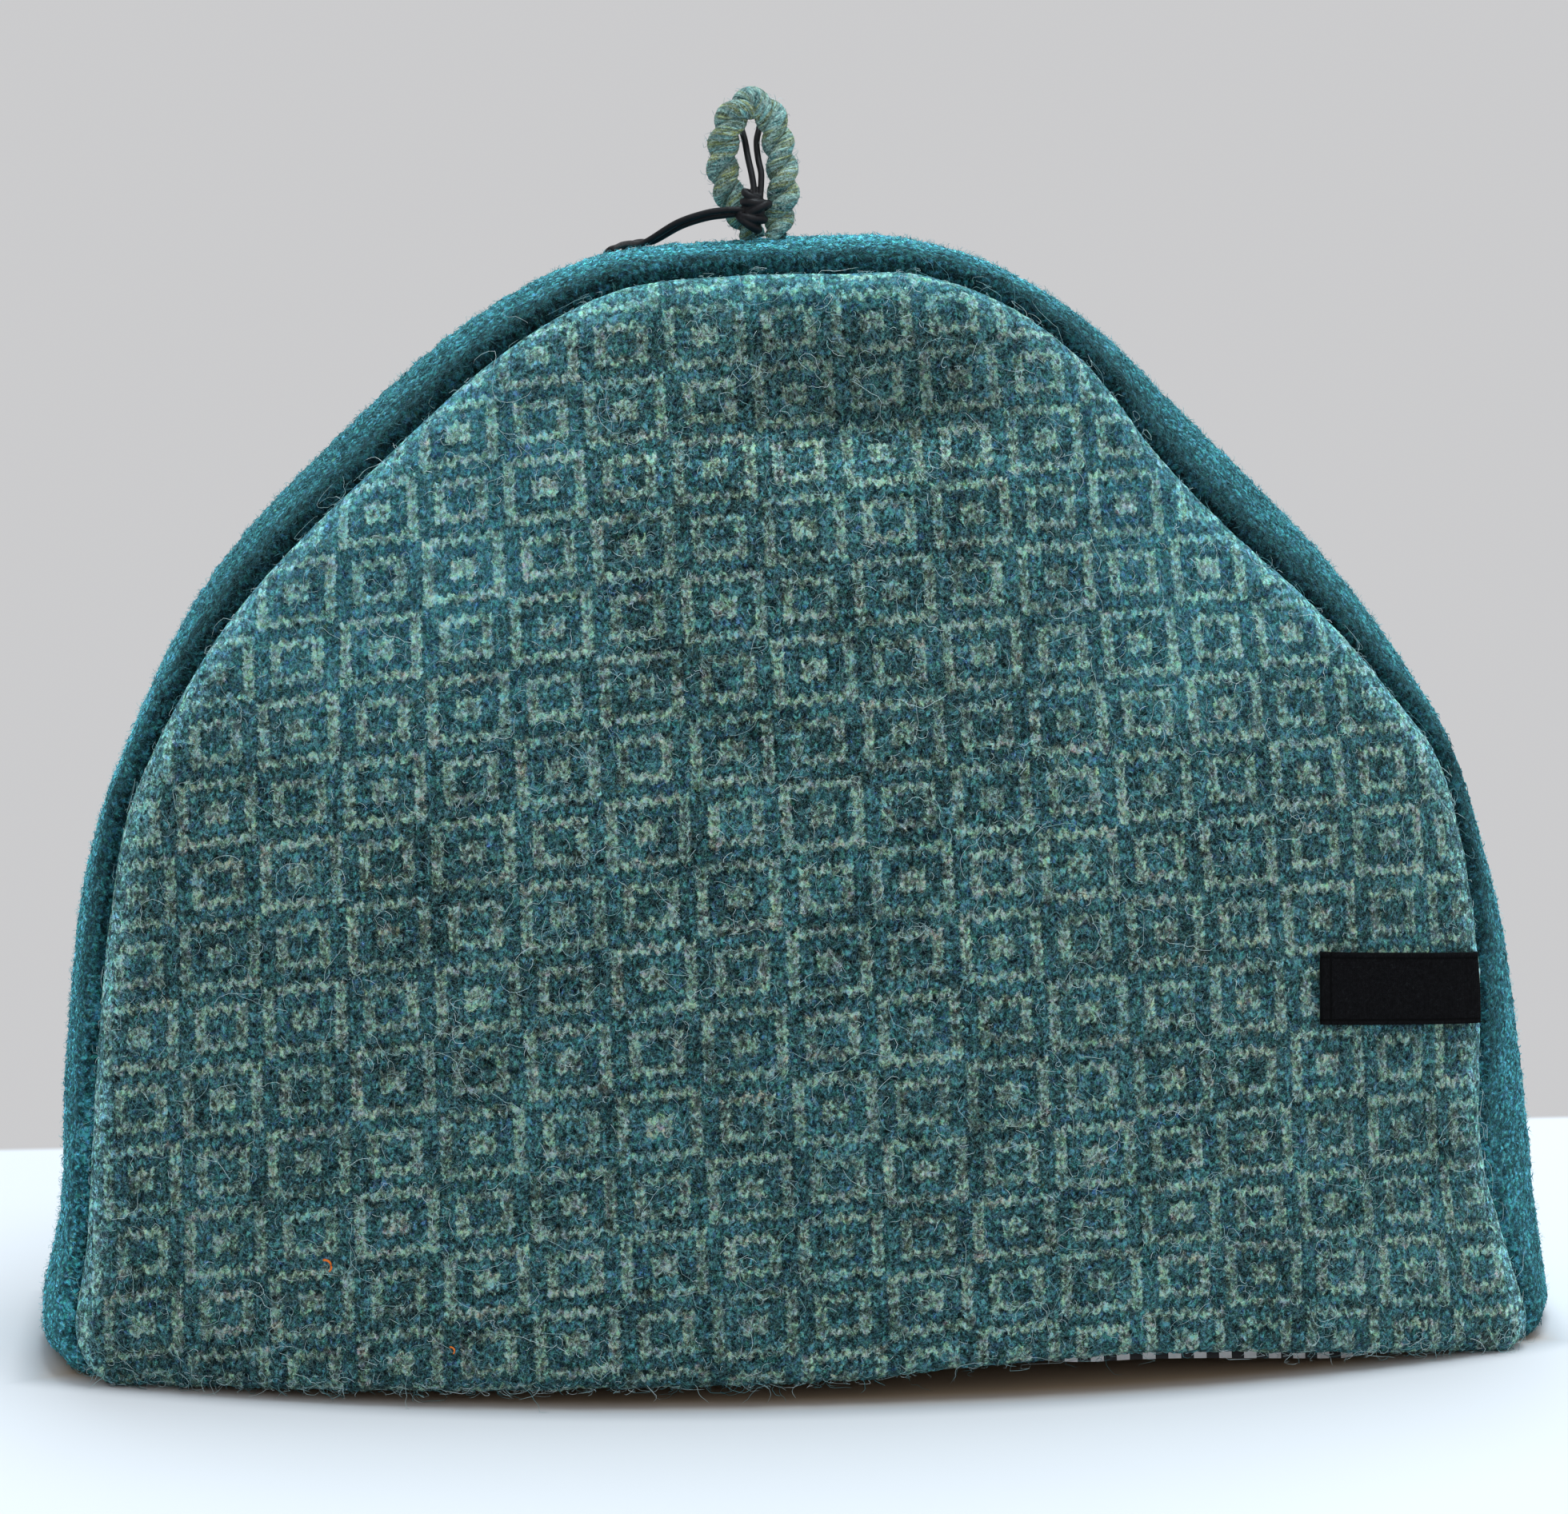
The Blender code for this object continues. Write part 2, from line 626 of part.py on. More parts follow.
def end_route(free, over, down):
    """Route of a free end: its rows in the air, then resting on the cloth."""
    rest = TIE_RADIUS + 1.5 * FIT_GAP
    points = [np.array(row) for row in free]
    points += [np.array((x, y, gusset_top(x, y) + rest)) for x, y in over]
    s, c = math.sin(math.radians(SEAM_ANGLE)), math.cos(math.radians(SEAM_ANGLE))
    for share, side, radius, angle in ((0.25, 1, GUSSET_ROLL, 10.0), (0.5, 1, GUSSET_ROLL, 52.0),
                                       (0.7, -1, PANEL_ROLL, 56.0), (0.85, -1, PANEL_ROLL, 67.0)):
        x = over[-1][0] + share * (down[0][0] - over[-1][0])
        k = int(np.argmin(np.abs(ARCH[:SUMMIT, 0] - x)))
        r = side * radius * s + (radius + rest) * math.cos(math.radians(angle))
        w = -side * radius * c + (radius + rest) * math.sin(math.radians(angle))
        seam = ARCH[k, :2] + ARCH_NORMAL[k] * r
        points.append(np.array((seam[0], half_depth(ARCH[k, 1]) + w, seam[1])))
    points += [np.array((x, panel_face(x, z, BACK_DENTS) + 1.1 * rest, z)) for x, z in down]
    return points


def make_cord(collection, name, route, material):
    """A round cord along a smooth curve through the route's points."""
    path = smooth_through(route, steps=3)
    curve = bpy.data.curves.new(name, "CURVE")
    curve.dimensions = "3D"
    spline = curve.splines.new("POLY")
    spline.points.add(len(path) - 1)
    for point, place in zip(spline.points, path):
        point.co = (*(place * MM), 1.0)
    curve.bevel_depth = TIE_RADIUS * MM
    curve.bevel_resolution = 2
    curve.use_fill_caps = True
    curve.materials.append(material)
    collection.objects.link(bpy.data.objects.new(name, curve))


def make_knot(collection, material):
    """The knot: a core with three wraps, fused into one lumpy solid."""
    wraps = [
        # centre offset, ring radius, cord radius, tilt about x, about y
        ((-0.4, 0.0, 3.2), 1.6, 1.15, 15.0, 24.0),
        ((0.9, 0.2, 0.4), 2.6, 1.3, -10.0, -28.0),
        ((-1.0, 0.0, -2.2), 2.4, 1.3, 12.0, 35.0),
    ]
    body = bmesh.new()
    bmesh.ops.create_uvsphere(body, u_segments=16, v_segments=10, radius=2.6)
    bmesh.ops.scale(body, vec=(1.05, 0.9, 1.6), verts=body.verts)
    for offset, ring, cord, tilt_x, tilt_y in wraps:
        steps_around, steps_across = 24, 10
        turn = (Matrix.Translation(offset) @ Matrix.Rotation(math.radians(tilt_x), 4, "X")
                @ Matrix.Rotation(math.radians(tilt_y), 4, "Y"))
        grid = []
        for i in range(steps_around):
            u = 2 * math.pi * i / steps_around
            loop = []
            for j in range(steps_across):
                v = 2 * math.pi * j / steps_across
                reach = ring + cord * math.cos(v)
                place = Vector((reach * math.cos(u), 0.85 * reach * math.sin(u), cord * math.sin(v)))
                loop.append(body.verts.new(turn @ place))
            grid.append(loop)
        for i in range(steps_around):
            for j in range(steps_across):
                a, b = grid[i], grid[(i + 1) % steps_around]
                k = (j + 1) % steps_across
                body.faces.new([a[j], b[j], b[k], a[k]])
    bmesh.ops.transform(body, matrix=Matrix.Translation(KNOT_CENTRE), verts=body.verts)
    bmesh.ops.scale(body, vec=(MM, MM, MM), verts=body.verts)
    mesh = bpy.data.meshes.new("tie_knot")
    body.to_mesh(mesh)
    body.free()
    mesh.materials.append(material)
    knot = bpy.data.objects.new("tie_knot", mesh)
    collection.objects.link(knot)
    fuse = knot.modifiers.new("fuse", "REMESH")
    fuse.mode = "VOXEL"
    fuse.voxel_size = 0.35 * MM
    thin = knot.modifiers.new("thin", "DECIMATE")
    thin.ratio = 0.14


def make_tie(collection):
    waxed = make_material("waxed_cord", BLACK, 0.45)
    make_cord(collection, "tie_noose", NOOSE_PATH, waxed)
    make_knot(collection, waxed)
    make_cord(collection, "tie_end_a", end_route(END_A_FREE, END_A_OVER, END_A_DOWN), waxed)
    make_cord(collection, "tie_end_b", end_route(END_B_FREE, END_B_OVER, END_B_DOWN), waxed)


# ---- build ------------------------------------------------------------------
clear_scene()
cosy = make_collection("tea_cosy")
make_cloth(cosy)
make_label(cosy)
make_loop(cosy)
make_tie(cosy)
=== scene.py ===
"""Looks of the tea cosy: stranded-knit panels and plain gusset laid out stitch by
stitch, checked lining, woven label, twisted loop, waxed tie and loose wool fibres.

Lengths are in millimetres until a mesh or curve is made. The cosy's middle plane is
y = 0 and its front faces -Y. The stitches are a lattice: u counts stitches, v rows.
"""
import math
from functools import partialmethod

import bpy
import numpy as np
from mathutils import Matrix, Vector


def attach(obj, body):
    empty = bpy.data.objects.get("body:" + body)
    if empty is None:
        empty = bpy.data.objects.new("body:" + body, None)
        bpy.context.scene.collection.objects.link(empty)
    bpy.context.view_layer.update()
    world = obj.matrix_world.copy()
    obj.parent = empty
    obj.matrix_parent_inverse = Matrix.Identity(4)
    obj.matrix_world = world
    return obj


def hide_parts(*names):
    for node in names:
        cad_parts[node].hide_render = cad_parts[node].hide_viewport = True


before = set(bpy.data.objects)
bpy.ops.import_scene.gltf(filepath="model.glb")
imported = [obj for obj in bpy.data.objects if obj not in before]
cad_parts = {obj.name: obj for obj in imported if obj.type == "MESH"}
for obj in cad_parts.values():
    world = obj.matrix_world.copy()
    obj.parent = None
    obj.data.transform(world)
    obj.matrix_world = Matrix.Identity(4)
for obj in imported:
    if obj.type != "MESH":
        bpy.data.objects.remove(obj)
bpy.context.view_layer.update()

MM = 0.001

# ---- the construction's values, as in part.py, mm
CLOTH = 3.0
HEM_THICK = 7.0
HEM_ROUND = 5.0
LINING = 1.0
FIT_GAP = 0.3
FOOT_HALF_DEPTH = 34.0
TOP_HALF_DEPTH = 28.0
SEAM_ALLOWANCE = 4.5
PANEL_ROLL = 5.5
GUSSET_ROLL = 3.6
PANEL_SLOPE = 24.0
SEAM_ANGLE = 45.0
PUFF = 30.0
PUFF_POWER = 2.2
PUFF_CENTRE = (0.0, 70.0)
LINING_DEPTH = 7.5
LINING_CORNER = (-6.3, 5.2)
LINING_SHORT = 2.5
LINING_TOP = 236.0
LINING_TURN = 7.0       # width of the lining's bend into its corner
LINING_SHOWS = (26.0, 62.0, 118.0, 146.0)   # x where it starts to show, does, still does, no longer does
LINING_HANGS = 2.5      # how far below the knit's hem it hangs there at most
HEM_INSIDE = 12.0       # how far the turned-up hem is followed inside

OUTLINE = np.array([
    # x, z, crest
    (-158.0, 0.0, 15.5), (-162.0, 12.0, 11.0), (-159.0, 33.0, 9.5), (-156.5, 66.0, 10.0),
    (-152.5, 104.0, 9.5), (-145.5, 134.0, 7.0), (-123.5, 171.5, 9.0), (-88.0, 207.0, 10.0),
    (-64.0, 227.5, 9.2), (-41.0, 239.5, 7.8), (-15.0, 242.5, 7.4), (8.0, 242.8, 8.3),
    (24.0, 242.6, 8.0), (42.0, 236.5, 8.6), (60.5, 223.0, 10.5), (76.0, 203.5, 14.0),
    (93.0, 186.0, 14.5), (111.5, 169.5, 13.0), (129.0, 150.0, 11.0), (141.5, 131.0, 9.5),
    (149.5, 92.0, 14.5), (151.0, 50.0, 20.0), (156.5, 27.0, 17.0), (162.5, 8.0, 14.0),
    (161.0, 0.0, 15.5),
])
BELOW_HEM = [(150.0, -60.0), (105.0, -140.0), (0.0, -175.0), (-105.0, -140.0), (-150.0, -60.0)]
FRONT_LIFT = np.array([
    # x, lift of the front hem
    (-156.0, 0.0), (-146.0, 0.3), (-105.0, 2.0), (-50.0, 3.6), (0.0, 4.4), (30.0, 6.6),
    (60.0, 7.8), (85.0, 7.0), (120.0, 3.6), (146.0, 0.5), (156.0, 0.0),
])
LIFT_FADE = 70.0
SECTION_STEPS = 49      # places from the gusset's crest to its tip
# x, z, depth, half width, half height
FRONT_DENTS = [(8.0, 212.0, 3.6, 25.0, 8.0), (12.0, 221.0, 1.6, 7.0, 15.0),
               (-60.0, 60.0, 1.5, 40.0, 30.0), (95.0, 120.0, 1.5, 30.0, 40.0)]
BACK_DENTS = [(-20.0, 205.0, 2.5, 16.0, 26.0), (60.0, 70.0, 2.0, 40.0, 30.0)]

LABEL_LEFT = 111.0
LABEL_HEIGHT = 88.2
LABEL_FALL = 3.4
LABEL_WIDTH = 15.9
LABEL_THICK = 1.0

LOOP_STRAND = 2.05
LOOP_OFFSET = 1.65
LOOP_PITCH = 11.5
LOOP_FOOT = 0.82        # the strands' share of their width at the feet
STRAND_SIDES = 40
PLY_PITCH = 7.5
PLY_RELIEF = 0.16
LOOP_FUZZ = 0.05
LOOP_PATH = [
    (-9.3, 3.4, 0.5), (-10.2, 3.1, 3.3), (-14.2, 2.2, 8.9), (-16.2, 1.2, 15.2), (-16.1, 0.6, 21.2),
    (-14.5, 0.2, 26.6), (-11.5, 0.0, 29.9), (-8.3, 0.0, 30.1), (-5.3, -0.2, 26.9), (-3.8, -0.7, 21.2),
    (-2.9, -1.5, 14.6), (-3.0, -2.4, 8.4), (-4.3, -3.1, 3.3), (-4.6, -3.4, 0.5),
]

TIE_RADIUS = 0.72
KNOT_CENTRE = (-10.0, -7.4, 257.0)
NOOSE_PATH = [
    (-9.8, -5.4, 262.9), (-10.2, -4.2, 265.6), (-10.8, -2.0, 269.0), (-11.2, 1.6, 272.6),
    (-11.9, 5.2, 276.2), (-11.9, 6.0, 279.2), (-10.2, 6.2, 281.2), (-8.3, 6.0, 279.8),
    (-7.5, 5.3, 276.4), (-8.5, 2.0, 272.4), (-8.5, -1.8, 268.8), (-8.0, -4.2, 265.6),
    (-8.1, -5.4, 262.9),
]
END_A_FREE = [(-15.7, -8.5, 257.5), (-20.5, -7.6, 256.8), (-27.0, -5.2, 254.5)]
END_A_OVER = [(-34.0, -0.6), (-36.8, 7.0), (-38.2, 15.0), (-39.0, 23.0)]
END_A_DOWN = [(-40.8, 230.0), (-42.0, 222.0), (-44.0, 211.0), (-46.0, 200.0), (-47.0, 189.0)]
END_B_FREE = [(-15.9, -7.0, 256.3), (-20.5, -6.2, 255.6), (-26.0, -3.9, 253.7)]
END_B_OVER = [(-31.8, 2.0), (-34.2, 9.4), (-35.2, 17.0), (-35.6, 23.5)]
END_B_DOWN = [(-35.8, 231.0), (-35.2, 223.0), (-33.6, 212.0), (-32.0, 201.0), (-31.0, 190.0), (-30.5, 180.0)]
KNOT_TURNS = [
    # centre offset, ring radius, cord radius, tilt about x, about y
    ((-0.4, 0.0, 3.6), 1.7, 0.85, 15.0, 24.0),
    ((0.2, 0.1, 2.0), 2.4, 0.90, 0.0, 4.0),
    ((0.9, 0.2, 0.4), 2.8, 0.95, -10.0, -28.0),
    ((-0.4, 0.1, -1.2), 2.8, 0.95, 8.0, 10.0),
    ((-1.0, 0.0, -2.5), 2.6, 0.95, 12.0, 35.0),
]

# ---- the knit, seen only here
STITCH = 3.1            # width of a stitch
ROW = 2.7               # height of a row
ZIGZAG = 0.6            # how far a stitch's legs rise from its middle, in rows
PER_STITCH = 4          # mesh columns in a stitch
FRONT_RELIEF = 0.30     # height of a leg over the grooves round it
GUSSET_RELIEF = 0.38
LUMPS = 0.22            # uneven felting
PANEL_FADE = (3.0, 8.0)         # relief dies out over this stretch beyond a panel's edge
GUSSET_FADE = (5.0, 10.0)       # and grows over this stretch from the tip of the gusset's allowance
PANEL_HEM_FADE = (1.0, 12.0)    # the hem gains its thickness over this stretch inside a panel's edge
GUSSET_HEM_FADE = (12.0, 20.0)  # the same from the tip of the gusset's allowance
UPRIGHT = (20.0, 60.0)          # the cloth stands upright up to the first height, freely from the second
FLOOR_GAP = 0.15        # the lowest stitches stay this far over the table
PANEL_STITCHES = (-62, 62)      # the lattice reaches past the panel and is cut at its edge
PANEL_ROWS = (-58, 70)
SPARE_STITCHES = 14     # beyond each end of the gusset, for its turned-up hems
GUSSET_START = 5.0      # where the gusset's first stitch lies on the arch
GUSSET_WAVER = (1.2, 9.0)       # its stitches waver by so many mm, a radian in so many rows
CELL = 6.0              # stitches in a square of the pattern
CHECK = 3.0             # width of the lining's checks

CLOTH_X = (-215.0, 216.0)       # the cloth's lengths are worked out over this stretch
CLOTH_Z = (-60.0, 311.0)

# Where stitch (u, v) of the front lies along the cloth, mm. Across and along: 1, u, v, v*v,
# u*v, u*u terms for u and v in fifties; the rows climb to the right and spread downwards.
FRONT_ACROSS = (1.2, 156.8, -5.3, -0.4, -5.1, -1.9)
FRONT_ALONG = (98.4, 12.3, 133.6, -5.1, 2.1, -8.4)
BACK_ACROSS = (4.0, 156.5, 3.2, 0.6, 2.4, 1.0)
BACK_ALONG = (96.0, -5.0, 134.0, -3.0, -1.5, -6.0)

# ---- colours: yarns and hairs as ramps of (spot, colour)
DARK_YARN = [
    (0.36, (0.040, 0.100, 0.188)), (0.42, (0.014, 0.050, 0.069)), (0.48, (0.030, 0.112, 0.106)),
    (0.52, (0.026, 0.080, 0.095)), (0.57, (0.040, 0.130, 0.156)), (0.63, (0.050, 0.088, 0.056)),
]
LIGHT_YARN = [
    (0.36, (0.120, 0.280, 0.310)), (0.44, (0.160, 0.290, 0.250)), (0.50, (0.220, 0.305, 0.215)),
    (0.55, (0.180, 0.300, 0.285)), (0.62, (0.275, 0.290, 0.225)),
]
GUSSET_YARN = [
    (0.36, (0.070, 0.255, 0.450)), (0.42, (0.038, 0.200, 0.240)), (0.47, (0.050, 0.285, 0.290)),
    (0.52, (0.044, 0.235, 0.305)), (0.57, (0.090, 0.330, 0.460)), (0.64, (0.105, 0.280, 0.205)),
]
LOOP_YARN = [
    (0.30, (0.025, 0.075, 0.080)), (0.40, (0.100, 0.270, 0.270)), (0.47, (0.280, 0.460, 0.420)),
    (0.54, (0.110, 0.180, 0.110)), (0.61, (0.330, 0.370, 0.140)), (0.70, (0.360, 0.560, 0.560)),
]
RIBBON = [(0.3, (0.0020, 0.0020, 0.0024)), (0.7, (0.0055, 0.0055, 0.0064))]
WAX = [(0.35, (0.003, 0.003, 0.004)), (0.65, (0.009, 0.009, 0.012))]
PALE_HAIRS = [
    (0.0, (0.035, 0.130, 0.150)), (0.25, (0.110, 0.300, 0.330)), (0.5, (0.300, 0.480, 0.500)),
    (1.0, (0.620, 0.760, 0.780)),
]
TEAL_HAIRS = [
    (0.0, (0.014, 0.050, 0.060)), (0.25, (0.030, 0.150, 0.180)), (0.5, (0.070, 0.320, 0.370)),
    (0.75, (0.115, 0.380, 0.520)), (0.9, (0.180, 0.520, 0.540)), (1.0, (0.420, 0.660, 0.600)),
]
# the crest's hairs: their own pale teal, made paler still as painted rim light
CREST_HAIRS = [
    (0.0, (0.060, 0.270, 0.310)), (0.4, (0.200, 0.520, 0.560)), (0.7, (0.340, 0.680, 0.720)),
    (1.0, (0.600, 0.840, 0.860)),
]
LINT = [(0.0, (0.75, 0.16, 0.02)), (1.0, (0.85, 0.22, 0.03))]
PALE = (0.26, 0.46, 0.45)
AQUA = (0.14, 0.44, 0.52)
BLACK = (0.0, 0.0, 0.0)
TABLE_WHITE = (0.60, 0.63, 0.67)
# painted brown shadow under the cosy, and the table's painted glow round it
TABLE_SHADE = (0.45, 0.34, 0.24)
TABLE_GLOW = (0.16, 0.165, 0.175)
WALL_GREY = (0.60, 0.60, 0.61)

# ---- camera and light
CAMERA_PLACE = (-89.7, -996.2, 290.0)
CAMERA_AIM = (-2.5, 0.0, 132.6)
CAMERA_LENS = 101.4     # mm on a 36 mm wide sensor
TABLE_EDGE = 178.0      # the table's far edge, mm behind the cosy's middle
FLOOR_REACH = 4000.0

rng = np.random.default_rng(11)


# ---- curves, as in part.py
def smooth_through(rows, steps=24, closed=False):
    """Catmull-Rom curve through the rows of a table, with `steps` points a span."""
    rows = np.asarray(rows, float)
    if closed:
        padded = np.vstack([rows[-1], rows, rows[0], rows[1]])
    else:
        padded = np.vstack([2 * rows[0] - rows[1], rows, 2 * rows[-1] - rows[-2]])
    t = np.arange(steps) / steps
    points = []
    for k in range(len(padded) - 3):
        a, b, c, d = padded[k:k + 4]
        cubic = (2 * b + np.outer(t, c - a) + np.outer(t ** 2, 2 * a - 5 * b + 4 * c - d)
                 + np.outer(t ** 3, 3 * b - a - 3 * c + d))
        points.append(cubic / 2)
    if not closed:
        points.append(rows[-1:])
    return np.vstack(points)


def smoothstep(x, low, high):
    t = np.clip((np.asarray(x, float) - low) / (high - low), 0.0, 1.0)
    return t * t * (3 - 2 * t)


def unit(a):
    return a / np.maximum(np.linalg.norm(a, axis=-1, keepdims=True), 1e-9)


def run_along(rows):
    """Distance along a polyline, at each of its points."""
    return np.concatenate([[0.0], np.cumsum(np.linalg.norm(np.diff(rows, axis=0), axis=1))])


def outward_of(line):
    """Normals on the outer side of a line of (x, z), not yet of length 1."""
    tangent = np.gradient(line, axis=0)
    return np.stack([-tangent[:, 1], tangent[:, 0]], 1)


def half_depth(z):
    return FOOT_HALF_DEPTH - (FOOT_HALF_DEPTH - TOP_HALF_DEPTH) * (np.clip(z, 0, 245) / 245.0) ** 2


def roll(radius, start, angles):
    """Points (r, w) along an arc whose direction turns from start to each angle, degrees."""
    a0 = math.radians(start)
    a = np.radians(angles)
    sign = 1.0 if angles[-1] >= start else -1.0
    return np.stack([radius * sign * (np.sin(a) - math.sin(a0)),
                     -radius * sign * (np.cos(a) - math.cos(a0))], 1)


ARCH = smooth_through(OUTLINE)
ARCH_T = np.arange(len(ARCH), dtype=float)
ARCH_RUN = run_along(ARCH[:, :2])
SUMMIT = int(np.argmax(ARCH[:, 1]))
ARCH_NORMAL = unit(outward_of(ARCH[:, :2]) * np.stack([ARCH_T * 0 + 1, smoothstep(ARCH[:, 1], 0.0, 60.0)], 1))
LEFT_SIDE = (ARCH[:SUMMIT, 1], ARCH_T[:SUMMIT])
RIGHT_SIDE = (ARCH[:SUMMIT:-1, 1], ARCH_T[:SUMMIT:-1])
PANEL_EDGE = roll(PANEL_ROLL, SEAM_ANGLE, [180.0 - PANEL_SLOPE])[0]
EDGE = ARCH[:, :2] + ARCH_NORMAL * PANEL_EDGE[0]
ROLL_START = math.radians(180.0 - PANEL_SLOPE)
ROLL_END = math.radians(SEAM_ANGLE)
ROLL_LENGTH = PANEL_ROLL * (ROLL_START - ROLL_END)
REACH_BEYOND = ROLL_LENGTH + SEAM_ALLOWANCE


def puff_radius():
    """The puffed oval as angles about its centre and the reach at each."""
    oval = smooth_through(np.vstack([EDGE[::24], BELOW_HEM]), steps=12, closed=True)
    away = oval - PUFF_CENTRE
    angle = np.arctan2(away[:, 1], away[:, 0])
    order = np.argsort(angle)
    return angle[order], np.linalg.norm(away, axis=1)[order]


PUFF_ANGLE, PUFF_REACH = puff_radius()


def puff_share(x, z):
    """0 at the puff's centre, 1 on its oval."""
    dx, dz = x - PUFF_CENTRE[0], z - PUFF_CENTRE[1]
    reach = np.interp(np.arctan2(dz, dx), PUFF_ANGLE, PUFF_REACH, period=2 * math.pi)
    return np.hypot(dx, dz) / reach


def panel_face(x, z, dents):
    """How far a panel's face stands from the middle plane."""
    share = np.clip(puff_share(x, z), 0.0, 1.0)
    w = half_depth(z) + PANEL_EDGE[1] + PUFF * (1 - share ** PUFF_POWER)
    for cx, cz, depth, wide, tall in dents:
        hollow = np.exp(-((x - cx) / wide) ** 2 - ((z - cz) / tall) ** 2)
        w = w - depth * hollow * (1 - share ** 4)
    return w


def face_at(x, z, dents):
    """panel_face at a single spot."""
    return float(panel_face(np.array([x]), np.array([z]), dents)[0])


def front_lift(x, z):
    lift = np.interp(x, *smooth_through(FRONT_LIFT).T)
    return lift * (1 - smoothstep(z, 0.0, LIFT_FADE))


def lining_drop(x, z):
    """Where the lining shows below the lifted front hem."""
    starts, full, still, ends = LINING_SHOWS
    shows = smoothstep(x, starts, full) * (1 - smoothstep(x, still, ends))
    room = np.maximum(front_lift(x, 0.0 * z) - 0.6, 0.0)
    return (LINING_SHORT + np.minimum(LINING_HANGS, room)) * shows * (1 - smoothstep(z, 2.0, 12.0))


def on_arch(at, table):
    return np.interp(at, ARCH_T, table)


def seam_at(at):
    """x and z of the seam and of its outward normal, `at` rows along the arch."""
    return [on_arch(at, column) for column in (*ARCH[:, :2].T, *ARCH_NORMAL.T)]


# ---- making objects
def add_object(name, data):
    made = bpy.data.objects.new(name, data)
    bpy.context.scene.collection.objects.link(made)
    return made


def new_mesh(name, points, faces, material, smooth=True, stitch=None, shade=None):
    """A mesh in metres from points in mm, with its stitch and shade attributes."""
    mesh = bpy.data.meshes.new(name)
    mesh.from_pydata((np.asarray(points) * MM).tolist(), [], [list(map(int, f)) for f in faces])
    for key, values, kind, field in (("stitch", stitch, "FLOAT_VECTOR", "vector"),
                                     ("shade", shade, "FLOAT", "value")):
        if values is not None:
            layer = mesh.attributes.new(key, kind, "POINT")
            layer.data.foreach_set(field, np.asarray(values, np.float32).ravel())
    if smooth:
        mesh.shade_smooth()
    mesh.materials.append(material)
    return add_object(name, mesh)


def settle(piece, replaces=()):
    """Fixes a piece to the root and hides the solids that it stands for."""
    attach(piece, "root")
    if replaces:
        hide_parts(*replaces)
    return piece


def thicken(piece, thickness, offset):
    thick = piece.modifiers.new("thick", "SOLIDIFY")
    thick.thickness = thickness * MM
    thick.offset = offset


def drop_unused(points, faces, *layers):
    """Keeps only the points that a face uses."""
    used = np.unique(faces)
    index = np.full(len(points), -1)
    index[used] = np.arange(len(used))
    return [points[used], index[faces]] + [layer[used] for layer in layers]


def grid_quads(rows, columns):
    """Quads of a grid whose point (i, j) has the number i * columns + j."""
    i, j = np.meshgrid(np.arange(rows - 1), np.arange(columns - 1), indexing="ij")
    a = (i * columns + j).ravel()
    return np.stack([a, a + 1, a + columns + 1, a + columns], 1)


def ring_quads(rings, around, first=0, closed=False):
    """Quads between rings of points from number `first`; closed joins the last ring to the first."""
    i, j = np.meshgrid(np.arange(rings if closed else rings - 1), np.arange(around), indexing="ij")
    after, beside = (i + 1) % rings * around, (j + 1) % around
    quads = np.stack([i * around + j, after + j, after + beside, i * around + beside], -1)
    return first + quads.reshape(-1, 4)


TURNED_OVER = [0, 3, 2, 1]


def circle(count):
    """The angles of `count` points round a circle."""
    return [2 * math.pi * k / count for k in range(count)]


# ---- the knit's lattice
def stitch_lattice(u_range, v_range, per_row):
    """Lattice lines along the stitches' legs: u and v of each point, and its quads."""
    u = np.arange(u_range[0] * PER_STITCH, u_range[1] * PER_STITCH + 1) / PER_STITCH
    v = np.arange(v_range[0] * per_row, v_range[1] * per_row + 1) / per_row
    vv, uu = np.meshgrid(v, u, indexing="ij")
    vv = vv + ZIGZAG * np.abs(2 * (uu % 1) - 1)
    return uu.ravel(), vv.ravel(), grid_quads(len(v), len(u))


def leg_relief(u, v, height):
    """Height of the knit at (u, v): two legs a stitch, each closing at its row's ends."""
    across = u % 1
    legs = np.abs(np.sin(2 * math.pi * across))
    middle = 0.35 * np.exp(-((across - 0.5) / 0.14) ** 2)
    along = (v - ZIGZAG * np.abs(2 * across - 1)) % 1
    bead = np.sin(math.pi * along) ** 0.7
    return height * (0.62 * np.maximum(legs, middle) + 0.5 * bead - 0.75)


def lumpy(points, size, seed):
    """Smooth uneven values from -1 to 1, worked out from a few waves in random directions."""
    draws = np.random.default_rng(seed)
    total = np.zeros(len(points))
    count = 14
    for _ in range(count):
        way = unit(draws.normal(size=3))
        length = size * draws.uniform(0.7, 1.6)
        total += np.sin(points @ way * 2 * math.pi / length + draws.uniform(0, 6.3))
    return total / math.sqrt(count)


def raise_stitches(place, facing, u, v, relief, lumps, fade):
    """Moves the cloth's points out by the stitches' relief and the felting's lumps (size, seed)."""
    bumps = leg_relief(u, v, relief) + LUMPS * lumpy(place, *lumps) - 0.1
    return place + facing * (bumps * fade)[:, None]


def lay_warp(u, v, across, along):
    a, b = u / 50.0, v / 50.0
    terms = np.stack([np.ones_like(a), a, b, b * b, a * b, a * a])
    return np.tensordot(across, terms, 1), np.tensordot(along, terms, 1)


def bilinear(table, i, j):
    i = np.clip(i, 0, table.shape[0] - 1.001)
    j = np.clip(j, 0, table.shape[1] - 1.001)
    i0, j0 = i.astype(int), j.astype(int)
    a, b = i - i0, j - j0
    return ((table[i0, j0] * (1 - b) + table[i0, j0 + 1] * b) * (1 - a)
            + (table[i0 + 1, j0] * (1 - b) + table[i0 + 1, j0 + 1] * b) * a)


